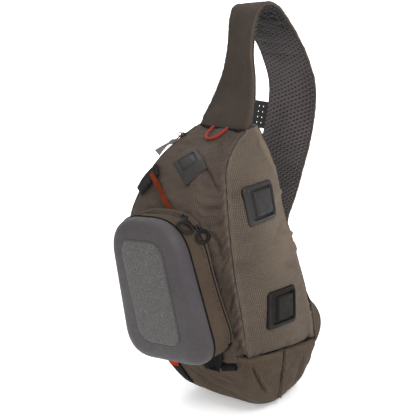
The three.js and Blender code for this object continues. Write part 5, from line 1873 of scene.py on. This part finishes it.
def ridgePoint(v, away, lift):
    # a place beside the left front seam: away is positive on the left side and negative on the front
    v = np.asarray(v, float)
    row = smoothRows(bagLevels, v)
    frontWide = row[..., 0] + row[..., 1]
    sideWide = np.hypot(row[..., 6] - row[..., 2], row[..., 7] - row[..., 3])
    u = -away / frontWide if away < 0 else np.minimum(4 - away / sideWide, 3.999)
    return bagLine(u, v, lift)


def seamFrames(v, lift):
    v = np.asarray(v, float)
    out = seamFacing(0.0, v)
    up = unit(bagPoint(0.0, np.minimum(v + 0.004, 9)) - bagPoint(0.0, v - 0.004))
    return bagPoint(0.0, v) + out * np.asarray(lift, float)[..., None], out, up


def seamTable(rows, facing):
    rows = np.array(rows, float)
    centre = seamFrames(rows[:, 0], rows[:, 1])[0]
    travel = unit(np.gradient(centre, axis=0))
    return np.column_stack([centre, rows[:, 2:4], unit(np.cross(travel, facing))])


pullFacing = (-0.66, 0.66, -0.36)  # the flat paddle lies turned to the right front
pullRows = [  # level on the seam, lift, half width, half thickness
    (8.17, 4.2, 1.0, 1.0), (8.03, 2.8, 1.1, 1.0), (7.93, 3.2, 1.6, 1.5), (7.84, 4.2, 3.0, 2.3),
    (7.75, 5.0, 3.0, 2.3), (7.65, 5.8, 1.9, 1.5), (7.46, 6.9, 2.8, 1.4), (7.15, 7.8, 5.4, 1.4),
]


def knotTurns(wide, angle, at):
    return 0.25 * np.sin(angle) * np.sin(at * 22) * (at < 4.6)


def mainZip():
    s = mainZipSpec
    v = np.linspace(s["from"], s["to"], 200)
    rings = np.stack([ridgePoint(v, away, lift)[0] for away, lift in ridgeSection], 1)
    tubePiece("mainZipTape", rings, "zipTape", "zip_tape", "main_zip")
    path, out = ridgePoint(v, s["coil"], 1.5)
    setAlong("mainZipCoil", [(path, out)], {**coilTooth, "across": 4.4}, "zip_tape")
    seat, out, up = seamFrames(np.array(s["sliderAt"]), np.array(s["lift"]))
    sliderPart("mainSlider", frameAt(seat, up, out), "main_slider")
    ringSeat = frameAt(seat + out * 4.0 - up * 4.0, up, np.cross(out, up))
    wireRing("mainPullRing", ringSeat, s["ring"], s["wire"], 28, "ringMetal", "slider_metal")
    pull = seamTable(pullRows, pullFacing)
    paddle = ("paddleGrey", "pull_rubber", "main_pull")
    stripPiece("mainPull", pull, (1.9, 7), 80, 20, 0.5, *paddle, swell=knotTurns)
    stripPiece("mainPullCord", pull, (0, 2.2), 30, 12, 0.9, "maroonCord", "red_cord")


mainZip()
print("main zip made")

# Trim under the pocket

trimSpec = {
    "web": ((0.22, 1.7), (0.79, 2.3), 2.0), "boot": ((0.06, 0.95), (0.22, 1.95), 1.8),
    "eyelet": 2.6, "eyeletWire": 0.9, "eyeletsAt": {"Inner": 0.5, "Outer": 8.5},
}
hingeStrapTable = np.array([
    [34, -82.5, 96.5, 14.5, 1.2, 1, 0, 0], [34.2, -84.5, 104, 14.8, 1.2, 1, 0, 0],
    [46, -86, 118, 13, 1.2, 1, 0, 0.12], [62, -91, 142, 7.5, 1.2, 1, 0, 0.12],
], float)
redTabTable = np.array([
    [-7, -116, 141, 8, 1.1, 1, 0, 0.07], [-7, -117, 128, 8.5, 1.1, 1, 0, 0.07],
    [-7, -118.5, 113.5, 8, 1.1, 1, 0, 0.07],
], float)


def surfacePatch(name, low, high, lift, finish, slot, node, cols=40, rows=30):
    u, v = np.meshgrid(np.linspace(low[0], high[0], cols), np.linspace(low[1], high[1], rows))
    points = bagPoint(u, v)
    facing = bagFacing(u, v)
    cloth = np.stack([(u - low[0]) * 200, runLength(points, 0)], -1)
    sheetPiece(name, points + facing * lift, lift - 0.35, finish, cloth, slot, node)


def pocketTrim():
    s = trimSpec
    surfacePatch("hingeWeb", *s["web"], "blackWeb", "black_webbing", "hinge_web")
    surfacePatch("bootTrim", *s["boot"], "blackWeb", "black_webbing", "boot_trim", 14, 40)
    x, z = np.array([52, 65, 78.0]), np.array([103, 106.5, 110.0])
    centre, _ = bagLine(*frontPlace(x, z), 3)
    table = np.column_stack([centre, np.full(3, 5), np.full(3, 3.4), np.zeros((3, 2)), np.ones(3)])
    stripPiece("hingeTunnel", table, (0, 2), 30, 20, 0.7, "blackWeb", "black_webbing", "hinge_tunnel")
    stripPiece("hingeStrap", hingeStrapTable, (0, 3), 50, 24, 0.35, "blackWeb", "black_webbing")
    strap = {key: value[0] for key, value in stripFrames(hingeStrapTable, np.array([0.45])).items()}
    for label, along in s["eyeletsAt"].items():
        middle = strap["centre"] + strap["across"] * along - strap["face"] * 1.3
        seat = frameAt(middle, (1, 0, 0), -strap["face"])
        wireRing("eyelet" + label, seat, s["eyelet"], s["eyeletWire"], 24, "blackWeb", "black_webbing")
    stripPiece("redTab", redTabTable, (0.35, 2), 26, 20, 0.35, "redWeb", "red_webbing", "red_tab")


pocketTrim()
print("trim made")
